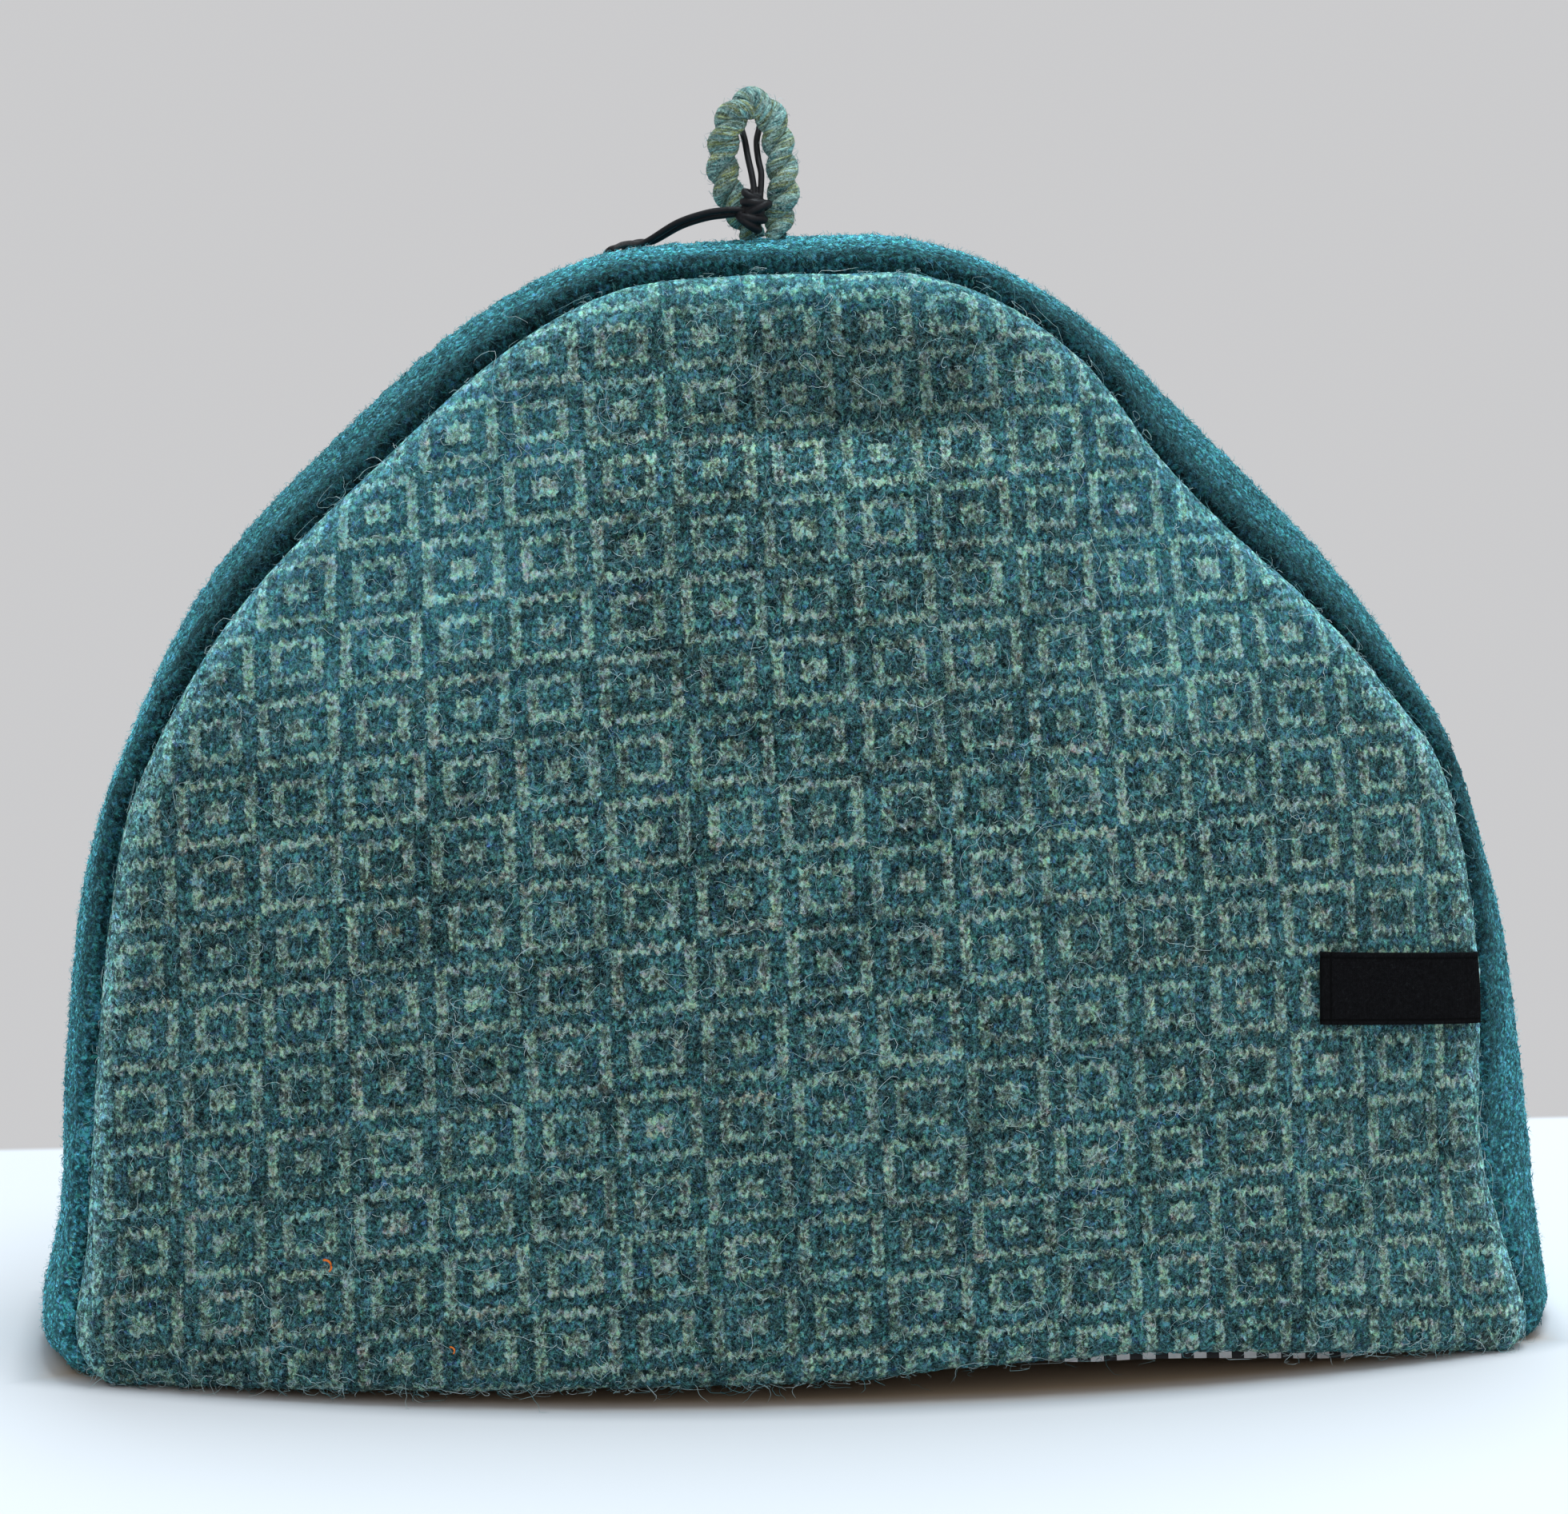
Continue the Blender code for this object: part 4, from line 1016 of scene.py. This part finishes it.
# ---- loose fibres
def surface_samples(place, facing, quads, count, where=None):
    """Random points on quads, area-weighted, with their normals."""
    corner = place[quads]
    area = np.linalg.norm(np.cross(corner[:, 2] - corner[:, 0], corner[:, 3] - corner[:, 1]), axis=1)
    if where is not None:
        area = area * where(corner.mean(axis=1), facing[quads].mean(axis=1))
    pick = rng.choice(len(quads), count, p=area / area.sum())
    a, b = rng.random((2, count, 1))
    c = corner[pick]
    spot = (c[:, 0] * (1 - a) + c[:, 1] * a) * (1 - b) + (c[:, 3] * (1 - a) + c[:, 2] * a) * b
    return spot, unit(facing[quads][pick].mean(axis=1))


def hair_paths(root, normal, length, steps, lift, curl, wander, comb):
    """Paths of hairs that leave the cloth at `lift` radians over it and bend as they go.

    comb is the spread, in radians, about the direction across the gusset; None for any direction.
    """
    count = len(root)
    helper = np.where(np.abs(normal[:, 2:3]) < 0.9, [[0.0, 0.0, 1.0]], [[1.0, 0.0, 0.0]])
    side = unit(np.cross(normal, helper))
    other = np.cross(normal, side)
    turn = rng.uniform(0, 2 * math.pi, count)
    if comb is not None:
        turn = math.pi * rng.integers(0, 2, count) + rng.normal(0, comb, count)
    bend = rng.normal(0, 1, count) * curl
    tilt = lift
    path = [root]
    step = (length / steps)[:, None]
    for _ in range(steps):
        flat = side * np.cos(turn)[:, None] + other * np.sin(turn)[:, None]
        way = flat * np.cos(tilt)[:, None] + normal * np.sin(tilt)[:, None]
        path.append(path[-1] + way * step)
        turn = turn + bend + rng.normal(0, wander, count)
        tilt = tilt * 0.86 - 0.05 * rng.random(count)
    return np.stack(path, 1)


def hairs(name, paths, radius, material, shade):
    """Thin closed three-sided tubes along paths, tapering to a point."""
    count, knots, _ = paths.shape
    tangent = unit(np.gradient(paths, axis=1))
    helper = unit(rng.normal(size=(count, 1, 3)))
    side = unit(np.cross(tangent, helper))
    up = np.cross(tangent, side)
    taper = np.interp(np.arange(knots - 1), [0, knots * 0.5, knots - 1], [1.0, 0.9, 0.5])
    reach = (radius[:, None] * taper)[:, :, None]
    rings = [paths[:, :-1] + (side * math.cos(angle) + up * math.sin(angle))[:, :-1] * reach
             for angle in circle(3)]
    ring = np.stack(rings, 2).reshape(count, -1, 3)
    points = np.concatenate([ring, paths[:, -1:]], axis=1)
    each = points.shape[1]
    faces = [[0, 2, 1]]
    for k in range(knots - 2):
        for j in range(3):
            a, b = 3 * k + j, 3 * k + (j + 1) % 3
            faces += [[a, b, b + 3], [a, b + 3, a + 3]]
    last = 3 * (knots - 2)
    faces += [[last, last + 1, each - 1], [last + 1, last + 2, each - 1], [last + 2, last, each - 1]]
    faces = np.array(faces)[None] + (np.arange(count) * each)[:, None, None]
    return new_mesh(name, points.reshape(-1, 3), faces.reshape(-1, 3), material, shade=np.repeat(shade, each))


def lie_on(paths, normal, lift):
    """Hairs pressed towards the cloth they spring from: each knot keeps near its root's plane."""
    rise = ((paths - paths[:, :1]) * normal[:, None]).sum(2)
    over = np.maximum(rise - lift[:, None], 0.0)
    return paths - normal[:, None] * over[:, :, None]


def grow(name, surface, material, count, length, steps, lift, curl, wander, thick, top,
         where=None, tone=None, comb=None):
    """A piece of `count` hairs on a surface; ranges are given as (low, high).

    where weighs the cloth's parts, tone darkens the hairs by the place of their roots as painted shade and
    light.
    """
    root, normal = surface_samples(*surface, count, where)
    run = rng.uniform(*length, count)
    paths = hair_paths(root - normal * 0.2, normal, run, steps, rng.uniform(*lift, count), curl, wander, comb)
    paths = lie_on(paths, normal, rng.uniform(*top, count))
    paths[..., 2] = np.maximum(paths[..., 2], 0.2)
    shade = rng.random(count)
    if tone is not None:
        shade = (0.4 + 0.6 * shade) * tone(root)
    settle(hairs(name, paths, rng.uniform(*thick, count), material, shade))


def seen_half(centre, facing):
    """More tufts on the front half of the gusset, fewer behind."""
    return np.where(centre[:, 1] < 3.0, 1.0, 0.25)


def near_crest(centre, facing):
    """More hairs where the gusset turns edge-on to someone in front."""
    return np.exp(-((centre[:, 1] + 3.0) / 8.0) ** 2)


def gusset_hair_shade(root):
    """Painted shade on the gusset's hairs: dark beside a panel, less so near the foot,
    dimmer on the shoulders, full along the gusset's middle.
    """
    half = half_depth(root[:, 2])
    low = 1.0 - smoothstep(root[:, 2], 20.0, 130.0)
    shoulder = smoothstep(root[:, 2], 140.0, 180.0) * (1.0 - smoothstep(root[:, 2], 232.0, 250.0))
    return (1.0 - 0.3 * shoulder) * (0.15 + 0.25 * low + (0.85 - 0.25 * low)
                                     * smoothstep(half - np.abs(root[:, 1]), 2.0, 20.0))


def crest_hair_light(root):
    """Painted rim light on the crest's hairs: paler down the sides, where the gusset is
    seen edge-on, than over the crown.
    """
    return 1.0 - 0.75 * smoothstep(root[:, 2], 110.0, 190.0)


def off_label(margin):
    """A weight that keeps hairs this far off the label."""
    def weight(centre, facing):
        across = centre[:, 0] > LABEL_LEFT - margin
        along = np.abs(centre[:, 2] - LABEL_HEIGHT + LABEL_FALL / 2) < LABEL_WIDTH / 2 + margin
        return ~(across & along)
    return weight


def at_hem(centre, facing):
    return (centre[:, 2] < 6.0) & (facing[:, 1] < 0.3)


def grow_fibres(front, back, gusset, loop):
    """The loose hairs of every cloth and of the loop."""
    pale = fibre_material("pale_fibres", PALE_HAIRS)
    teal = fibre_material("teal_fibres", TEAL_HAIRS)
    crest = fibre_material("crest_fibres", CREST_HAIRS)
    # name, surface, material, count, length, steps, lift, curl, wander, thick, top
    grow("front_short_fibres", front, pale,
         7600, (1.5, 5.0), 4, (0.3, 1.1), 0.8, 0.5, (0.042, 0.062), (0.3, 1.0), off_label(1.0))
    grow("front_long_fibres", front, pale,
         1450, (5.0, 18.0), 10, (0.3, 1.0), 0.50, 0.45, (0.038, 0.056), (0.6, 2.5), off_label(18.0))
    grow("hem_fibres", front, pale,
         380, (2.0, 7.0), 7, (0.2, 1.0), 0.5, 0.4, (0.05, 0.07), (0.5, 2.5), at_hem)
    grow("gusset_tufts", gusset, teal,
         6000, (1.2, 2.8), 3, (0.15, 0.8), 0.5, 0.3, (0.10, 0.17), (0.3, 0.8), seen_half, gusset_hair_shade, 0.35)
    grow("crest_fibres", gusset, crest,
         5200, (0.8, 2.6), 3, (0.7, 1.5), 0.3, 0.3, (0.032, 0.055), (0.5, 1.6), near_crest, crest_hair_light)
    grow("back_fibres", back, pale,
         1800, (2.0, 8.0), 5, (0.3, 1.0), 0.45, 0.5, (0.05, 0.075), (0.4, 1.2))
    grow("loop_fibres", loop, pale,
         650, (0.8, 3.2), 5, (0.3, 1.3), 0.5, 0.4, (0.035, 0.055), (0.4, 1.4))


def make_lint():
    """Two orange wool flecks caught on the front, near its left foot."""
    paths = []
    bend = np.linspace(-0.2, 2.6, 9)
    for x, z, size in ((-108.0, 31.5, 1.5), (-81.0, 13.5, 0.9)):
        y = -face_at(x, z, FRONT_DENTS) - 0.8
        paths.append(np.stack([x + size * np.sin(bend), np.full(9, y), z + size * np.cos(bend)], 1))
    lint = hairs("orange_lint", np.array(paths), np.array([0.34, 0.24]), fibre_material("lint_fibres", LINT),
                 np.array([0.3, 0.8]))
    settle(lint)


# ---- the tie
def gusset_top(x, y):
    """Height of the gusset's outer face near its crest."""
    near = slice(SUMMIT - 200, SUMMIT + 120)
    rising = 38     # the section's steps from the crest to its widest place
    reach = np.array([np.interp(abs(y), w[:rising], r[:rising])
                      for r, w in zip(SECTION_R[near], SECTION_W[near])])
    place = ARCH[near, :2] + ARCH_NORMAL[near] * reach[:, None]
    return float(np.interp(x, place[:, 0], place[:, 1]))


def end_route(free, over, down):
    """Route of a free end: its rows in the air, then resting on the cloth."""
    rest = TIE_RADIUS + 1.5 * FIT_GAP
    points = list(free)
    points += [(x, y, gusset_top(x, y) + rest) for x, y in over]
    s, c = math.sin(ROLL_END), math.cos(ROLL_END)
    for share, side, radius, angle in ((0.25, 1, GUSSET_ROLL, 10.0), (0.5, 1, GUSSET_ROLL, 52.0),
                                       (0.7, -1, PANEL_ROLL, 56.0), (0.85, -1, PANEL_ROLL, 67.0)):
        x = over[-1][0] + share * (down[0][0] - over[-1][0])
        k = int(np.argmin(np.abs(ARCH[:SUMMIT, 0] - x)))
        r = side * radius * s + (radius + rest) * math.cos(math.radians(angle))
        w = -side * radius * c + (radius + rest) * math.sin(math.radians(angle))
        seam = ARCH[k, :2] + ARCH_NORMAL[k] * r
        points.append((seam[0], half_depth(ARCH[k, 1]) + w, seam[1]))
    points += [(x, face_at(x, z, BACK_DENTS) + 1.1 * rest, z) for x, z in down]
    return points


def make_cord(name, route, material, node):
    """A round cord along a smooth curve through the route's points."""
    path = smooth_through(route, steps=6)
    curve = bpy.data.curves.new(name, "CURVE")
    curve.dimensions = "3D"
    spline = curve.splines.new("POLY")
    spline.points.add(len(path) - 1)
    for point, place in zip(spline.points, path):
        point.co = (*(place * MM), 1.0)
    curve.bevel_depth = TIE_RADIUS * MM
    curve.bevel_resolution = 4
    curve.use_fill_caps = True
    curve.materials.append(material)
    cord = settle(add_object(name, curve), [node])


def knot_turns(points, faces, around=40, across=16):
    """Turns of the cord round the knot's core."""
    for offset, ring, cord, tilt_x, tilt_y in KNOT_TURNS:
        turn = (Matrix.Translation(offset) @ Matrix.Rotation(math.radians(tilt_x), 4, "X")
                @ Matrix.Rotation(math.radians(tilt_y), 4, "Y"))
        faces += ring_quads(around, across, len(points), closed=True).tolist()
        for a in circle(around):
            for b in circle(across):
                reach = ring + cord * math.cos(b)
                spot = Vector((reach * math.cos(a), 0.85 * reach * math.sin(a), cord * math.sin(b)))
                points.append(np.array(turn @ spot) + KNOT_CENTRE)


def knot_ends(points, faces, across=16):
    """The cords' ends inside the knot."""
    for start, inward in ((NOOSE_PATH[0], (0.0, -1.5, -3.5)), (NOOSE_PATH[-1], (-0.4, -1.5, -3.5)),
                          (END_A_FREE[0], (3.5, 0.6, 0.0)), (END_B_FREE[0], (3.5, 0.2, 0.3))):
        first = len(points)
        way = Vector(inward).normalized()
        side = way.orthogonal().normalized()
        other = way.cross(side)
        for run in (-0.3, Vector(inward).length):
            for b in circle(across):
                spot = way * run + (side * math.cos(b) + other * math.sin(b)) * TIE_RADIUS
                points.append(np.array(spot) + start)
        faces += ring_quads(2, across, first)[:, TURNED_OVER].tolist()
        faces += [range(first + across - 1, first - 1, -1), range(first + across, first + 2 * across)]


def knot_core(points, faces, rings=12, around=18):
    """An egg-shaped lump that fills the knot."""
    faces += ring_quads(rings + 1, around, len(points)).tolist()
    for k in range(rings + 1):
        a = math.pi * k / rings
        for b in circle(around):
            out = [2.6 * math.sin(a) * math.cos(b), 2.2 * math.sin(a) * math.sin(b), 3.9 * math.cos(a)]
            points.append(np.array(KNOT_CENTRE) + out)


def make_knot(material):
    """An overhand knot: turns of the cord round a core, pulled tight into one lump."""
    points, faces = [], []
    knot_turns(points, faces)
    knot_ends(points, faces)
    knot_core(points, faces)
    knot = new_mesh("tie_knot_wraps", points, faces, material)
    fuse = knot.modifiers.new("fuse", "REMESH")
    fuse.mode = "VOXEL"
    fuse.voxel_size = 0.16 * MM
    fuse.use_smooth_shade = True
    knot.modifiers.new("soften", "SMOOTH").iterations = 3
    settle(knot, ["tie_knot"])


def make_tie(material):
    make_cord("tie_noose_cord", NOOSE_PATH, material, "tie_noose")
    make_cord("tie_end_a_cord", end_route(END_A_FREE, END_A_OVER, END_A_DOWN), material, "tie_end_a")
    make_cord("tie_end_b_cord", end_route(END_B_FREE, END_B_OVER, END_B_DOWN), material, "tie_end_b")
    make_knot(material)


# ---- the hanging loop
def loop_strand(number, path, side, up, scale, length):
    """Rings of one strand, their outward directions and their stitch attribute."""
    angle = (math.pi * number - 2 * math.pi * length / LOOP_PITCH)[:, None]
    out = side * np.cos(angle) + up * np.sin(angle)
    centre = path + scale * LOOP_OFFSET * out
    run = unit(np.gradient(centre, axis=0))
    out = unit(out)
    out = unit(out - run * (out * run).sum(1)[:, None])
    cross = np.cross(run, out)
    around = np.linspace(0, 2 * math.pi, STRAND_SIDES + 1)[:-1]
    points, facing, stitch = [], [], []
    for k, along in enumerate(length):
        plies = PLY_RELIEF * np.abs(np.sin(1.5 * around + along * 2 * math.pi / PLY_PITCH)) - 0.05
        fuzz = LOOP_FUZZ * rng.normal(size=len(around))
        reach = (LOOP_STRAND * scale[k] * 0.97 + plies + fuzz)[:, None]
        way = out[k] * np.cos(around)[:, None] + cross[k] * np.sin(around)[:, None]
        points.append(centre[k] + way * reach)
        facing.append(way)
        twist = around - 2 * along / PLY_PITCH * math.pi / 1.5
        stitch.append(np.stack([np.full(len(around), along), twist, np.full(len(around), 3.0 * number)], 1))
    return points, facing, stitch


def make_loop(material):
    """Two strands laid round each other, each spun from plies that show on its surface."""
    route = np.array(LOOP_PATH)
    route[:, 2] += gusset_top(-7.0, 0.0)
    path = smooth_through(route, steps=16)
    tangent = np.gradient(path, axis=0)
    tangent[0] = (0, 0, 1)
    tangent[-1] = (0, 0, -1)
    tangent = unit(tangent)
    length = run_along(path)
    side = unit(np.cross(tangent, [0.0, 1.0, 0.0]))
    up = np.cross(side, tangent)
    from_foot = np.minimum(length, length[-1] - length)
    scale = (LOOP_FOOT + (1 - LOOP_FOOT) * smoothstep(from_foot, 0.0, 7.0))[:, None]
    points, facing, stitch, faces = [], [], [], []
    for number in (0, 1):
        faces.append(ring_quads(len(path), STRAND_SIDES, STRAND_SIDES * len(points))[:, TURNED_OVER])
        for whole, part in zip((points, facing, stitch), loop_strand(number, path, side, up, scale, length)):
            whole += part
    points, faces = np.vstack(points), np.vstack(faces)
    loop = new_mesh("loop_strands", points, faces, material, stitch=np.vstack(stitch))
    settle(loop, ["hanging_loop"])
    return points, np.vstack(facing), faces


# ---- label
def label_row(v, columns=60, ridges=7):
    """A line along the ribbon, `v` of its width from its middle: over the face, then onto the rolled edge."""
    share = np.linspace(0.0, 1.0, columns)
    z = LABEL_HEIGHT - LABEL_FALL * share + v * LABEL_WIDTH
    at = np.interp(z, *RIGHT_SIDE)
    x = LABEL_LEFT + share * (on_arch(at, EDGE[:, 0]) - LABEL_LEFT)
    y = -panel_face(x, on_arch(at, EDGE[:, 1]) * share + z * (1 - share), FRONT_DENTS)
    z_end = LABEL_HEIGHT - LABEL_FALL + v * LABEL_WIDTH
    seam_x, seam_z, nx, nz = seam_at(float(np.interp(z_end, *RIGHT_SIDE)))
    rolled = [(seam_x + nx * r, -(half_depth(z_end) + w), seam_z + nz * r)
              for r, w in roll(PANEL_ROLL, SEAM_ANGLE, np.linspace(154.0, 140.0, ridges))]
    return np.vstack([np.stack([x, y, z], 1), rolled])


def make_label(material):
    """The ribbon: lies on the panel's face, then runs onto its rolled edge."""
    v = np.linspace(-0.5, 0.5, 26)
    grid = np.array([label_row(share) for share in v])
    stitch = [np.stack([run_along(row), np.full(len(row), share * LABEL_WIDTH), np.zeros(len(row))], 1)
              for row, share in zip(grid, v)]
    normal = unit(np.cross(np.gradient(grid, axis=1), np.gradient(grid, axis=0)))
    if normal[..., 1].mean() > 0:
        normal = -normal
    wave = 0.12 * np.sin(stitch[0][:, 0] / 4.0) + 0.10 * np.sin(np.linspace(0, 5, len(v)))[:, None]
    edge_curl = 0.25 * (np.abs(v) * 2) ** 6
    grid = grid + normal * (FIT_GAP + LABEL_THICK + 0.15 + wave + edge_curl[:, None])[..., None]
    faces = grid_quads(len(v), grid.shape[1])
    label = new_mesh("label_ribbon", grid.reshape(-1, 3), faces, material, stitch=np.vstack(stitch))
    thicken(label, LABEL_THICK, -1.0 if label.data.polygons[0].normal.y < 0 else 1.0)
    settle(label, ["label"])


# ---- linings
def lining_levels(foot_steps, steps):
    """Heights of the lining's rows, closer at its foot, and where they meet the arch on both sides."""
    foot = np.linspace(LINING_SHORT, 30.0, foot_steps)[:-1]
    levels = np.concatenate([foot, np.linspace(30.0, LINING_TOP, steps)])
    return levels, np.interp(levels, *LEFT_SIDE), np.interp(levels, *RIGHT_SIDE)


def lining_panel(name, material, dents, node, back):
    """The lining behind a panel, with its corner to the seam."""
    columns = 70
    levels, left, right = lining_levels(14, 31)
    corner_r, corner_w = LINING_CORNER
    points, stitch = [], []
    for z, *ends in zip(levels, left, right):
        reach = [seam_x + nx * corner_r for seam_x, _, nx, _ in map(seam_at, ends)]
        x = np.linspace(*reach, columns)
        zz = np.full(columns, z)
        inset = np.minimum(x - x[0], x[-1] - x)
        turn = 1 - np.clip(inset / LINING_TURN, 0, 1)
        depth = panel_face(x, zz, dents) - LINING_DEPTH - 1.0
        w = depth + (half_depth(z) - corner_w - depth) * (1 - np.sqrt(1 - turn ** 2))
        points.append(np.stack([x, -w, zz], 1))
        run = run_along(points[-1])
        stitch.append(np.stack([run - run[columns // 2], zz + 0.6, np.zeros(columns)], 1))
    place = np.vstack(points)
    faces = grid_quads(len(levels), columns)
    if back:
        place[:, 1] *= -1
        faces = faces[:, ::-1]
    else:
        place[:, 2] += front_lift(place[:, 0], place[:, 2]) - lining_drop(place[:, 0], place[:, 2])
    lining = new_mesh(name, place, faces, material, stitch=np.vstack(stitch))
    thicken(lining, LINING, -1.0)
    return settle(lining, [node])


def lining_gusset(material):
    """The lining inside the gusset, up one side, over the crown and down the other."""
    _, left, right = lining_levels(12, 40)
    at = np.concatenate([left, np.linspace(left[-1], right[-1], 60)[1:-1], right[::-1]])
    foot_r, behind = LINING_CORNER
    x, z, nx, nz = seam_at(at)
    crest = on_arch(at, ARCH[:, 2])
    run = on_arch(at, ARCH_RUN)
    points, stitch = [], []
    across = np.linspace(-1.0, 1.0, 25)
    for a in across:
        r = foot_r + (crest - LINING_DEPTH - foot_r) * (1 - a * a)
        w = -a * (half_depth(z) - behind - FIT_GAP)
        points.append(np.stack([x + nx * r, -w, z + nz * r], 1))
        stitch.append(np.stack([w, run, np.zeros(len(at))], 1))
    faces = grid_quads(len(across), len(at))
    lining = new_mesh("lining_gusset_cotton", np.vstack(points), faces, material, stitch=np.vstack(stitch))
    thicken(lining, LINING, 1.0)
    return settle(lining, ["lining_gusset"])


# ---- camera, stage and light
def aimed(place, aim):
    """The rotation of a camera or lamp that looks from place to aim."""
    return (Vector(aim) - Vector(place)).to_track_quat("-Z", "Y").to_euler()


def make_camera():
    camera = add_object("camera", bpy.data.cameras.new("camera"))
    camera.data.sensor_width = 36.0
    camera.data.lens = CAMERA_LENS
    camera.location = Vector(CAMERA_PLACE) * MM
    camera.rotation_euler = aimed(CAMERA_PLACE, CAMERA_AIM)
    camera.data.clip_start = 0.05
    camera.data.clip_end = 50.0
    bpy.context.scene.camera = camera


def make_stage():
    corners = [(-1, -1), (1, -1), (1, 1), (-1, 1)]
    points = [(FLOOR_REACH * x, FLOOR_REACH * y, 0) for x, y in corners]
    new_mesh("floor", points, [[0, 1, 2, 3]], floor_material(), smooth=False)
    world = bpy.data.worlds.new("studio")
    bpy.context.scene.world = world
    world.use_nodes = True
    background = world.node_tree.nodes["Background"]
    background.inputs["Color"].default_value = (*WALL_GREY, 1.0)
    background.inputs["Strength"].default_value = 1.0


def make_light(name, place, size, power, colour):
    """A soft lamp aimed at the cosy's middle, in metres and watts."""
    lamp = bpy.data.lights.new(name, "AREA")
    lamp.shape = "RECTANGLE"
    lamp.size, lamp.size_y = size
    lamp.energy = power
    lamp.color = colour
    light = add_object(name, lamp)
    light.location = place
    light.rotation_euler = aimed(place, (0.0, 0.0, 0.12))


# ---- build
make_camera()
bpy.context.scene.view_settings.view_transform = "Standard"
make_tie(waxed_material())

fair_isle = knit_material("fair_isle_wool", DARK_YARN, LIGHT_YARN, sheen=0.10, sheen_tint=(0.45, 0.88, 0.92),
                          fibre_light=PALE, furrow=1.1, recess=(3.0, 9.0, 1.0), grain=5.2, mottle=3.4,
                          stroke=13.0, fluff=0.75)
plain = knit_material("plain_wool", GUSSET_YARN, None, sheen=0.22, sheen_tint=(0.35, 0.90, 0.95),
                      fibre_light=AQUA, furrow=1.6, recess=(7.0, 22.0, 2.3), grain=2.4, mottle=8.0,
                      stroke=15.0, fluff=0.3)
gingham = gingham_material()

front, front_cloth = knit_panel("front_knit", fair_isle, FRONT_DENTS, FRONT_ACROSS, FRONT_ALONG, 1, 2)
settle(front, ["front_panel"])
back, back_cloth = knit_panel("back_knit", fair_isle, BACK_DENTS, BACK_ACROSS, BACK_ALONG, 2, 1, back=True)
settle(back, ["back_panel"])
gusset, gusset_cloth = knit_gusset(plain)
settle(gusset, ["gusset"])

lining_front = lining_panel("lining_front_cotton", gingham, FRONT_DENTS, "lining_front", False)
lining_back = lining_panel("lining_back_cotton", gingham, BACK_DENTS, "lining_back", True)
lining_arch = lining_gusset(gingham)
make_label(label_material())
loop_yarn = make_loop(loop_material())

grow_fibres(front_cloth, back_cloth, gusset_cloth, loop_yarn)
make_lint()

make_stage()
make_light("window", (0.2, 0.08, 1.6), (1.5, 0.6), 25.0, (0.82, 0.94, 1.0))
make_light("room", (0.3, -1.7, 1.2), (1.6, 1.6), 6.5, (1.0, 0.99, 0.98))
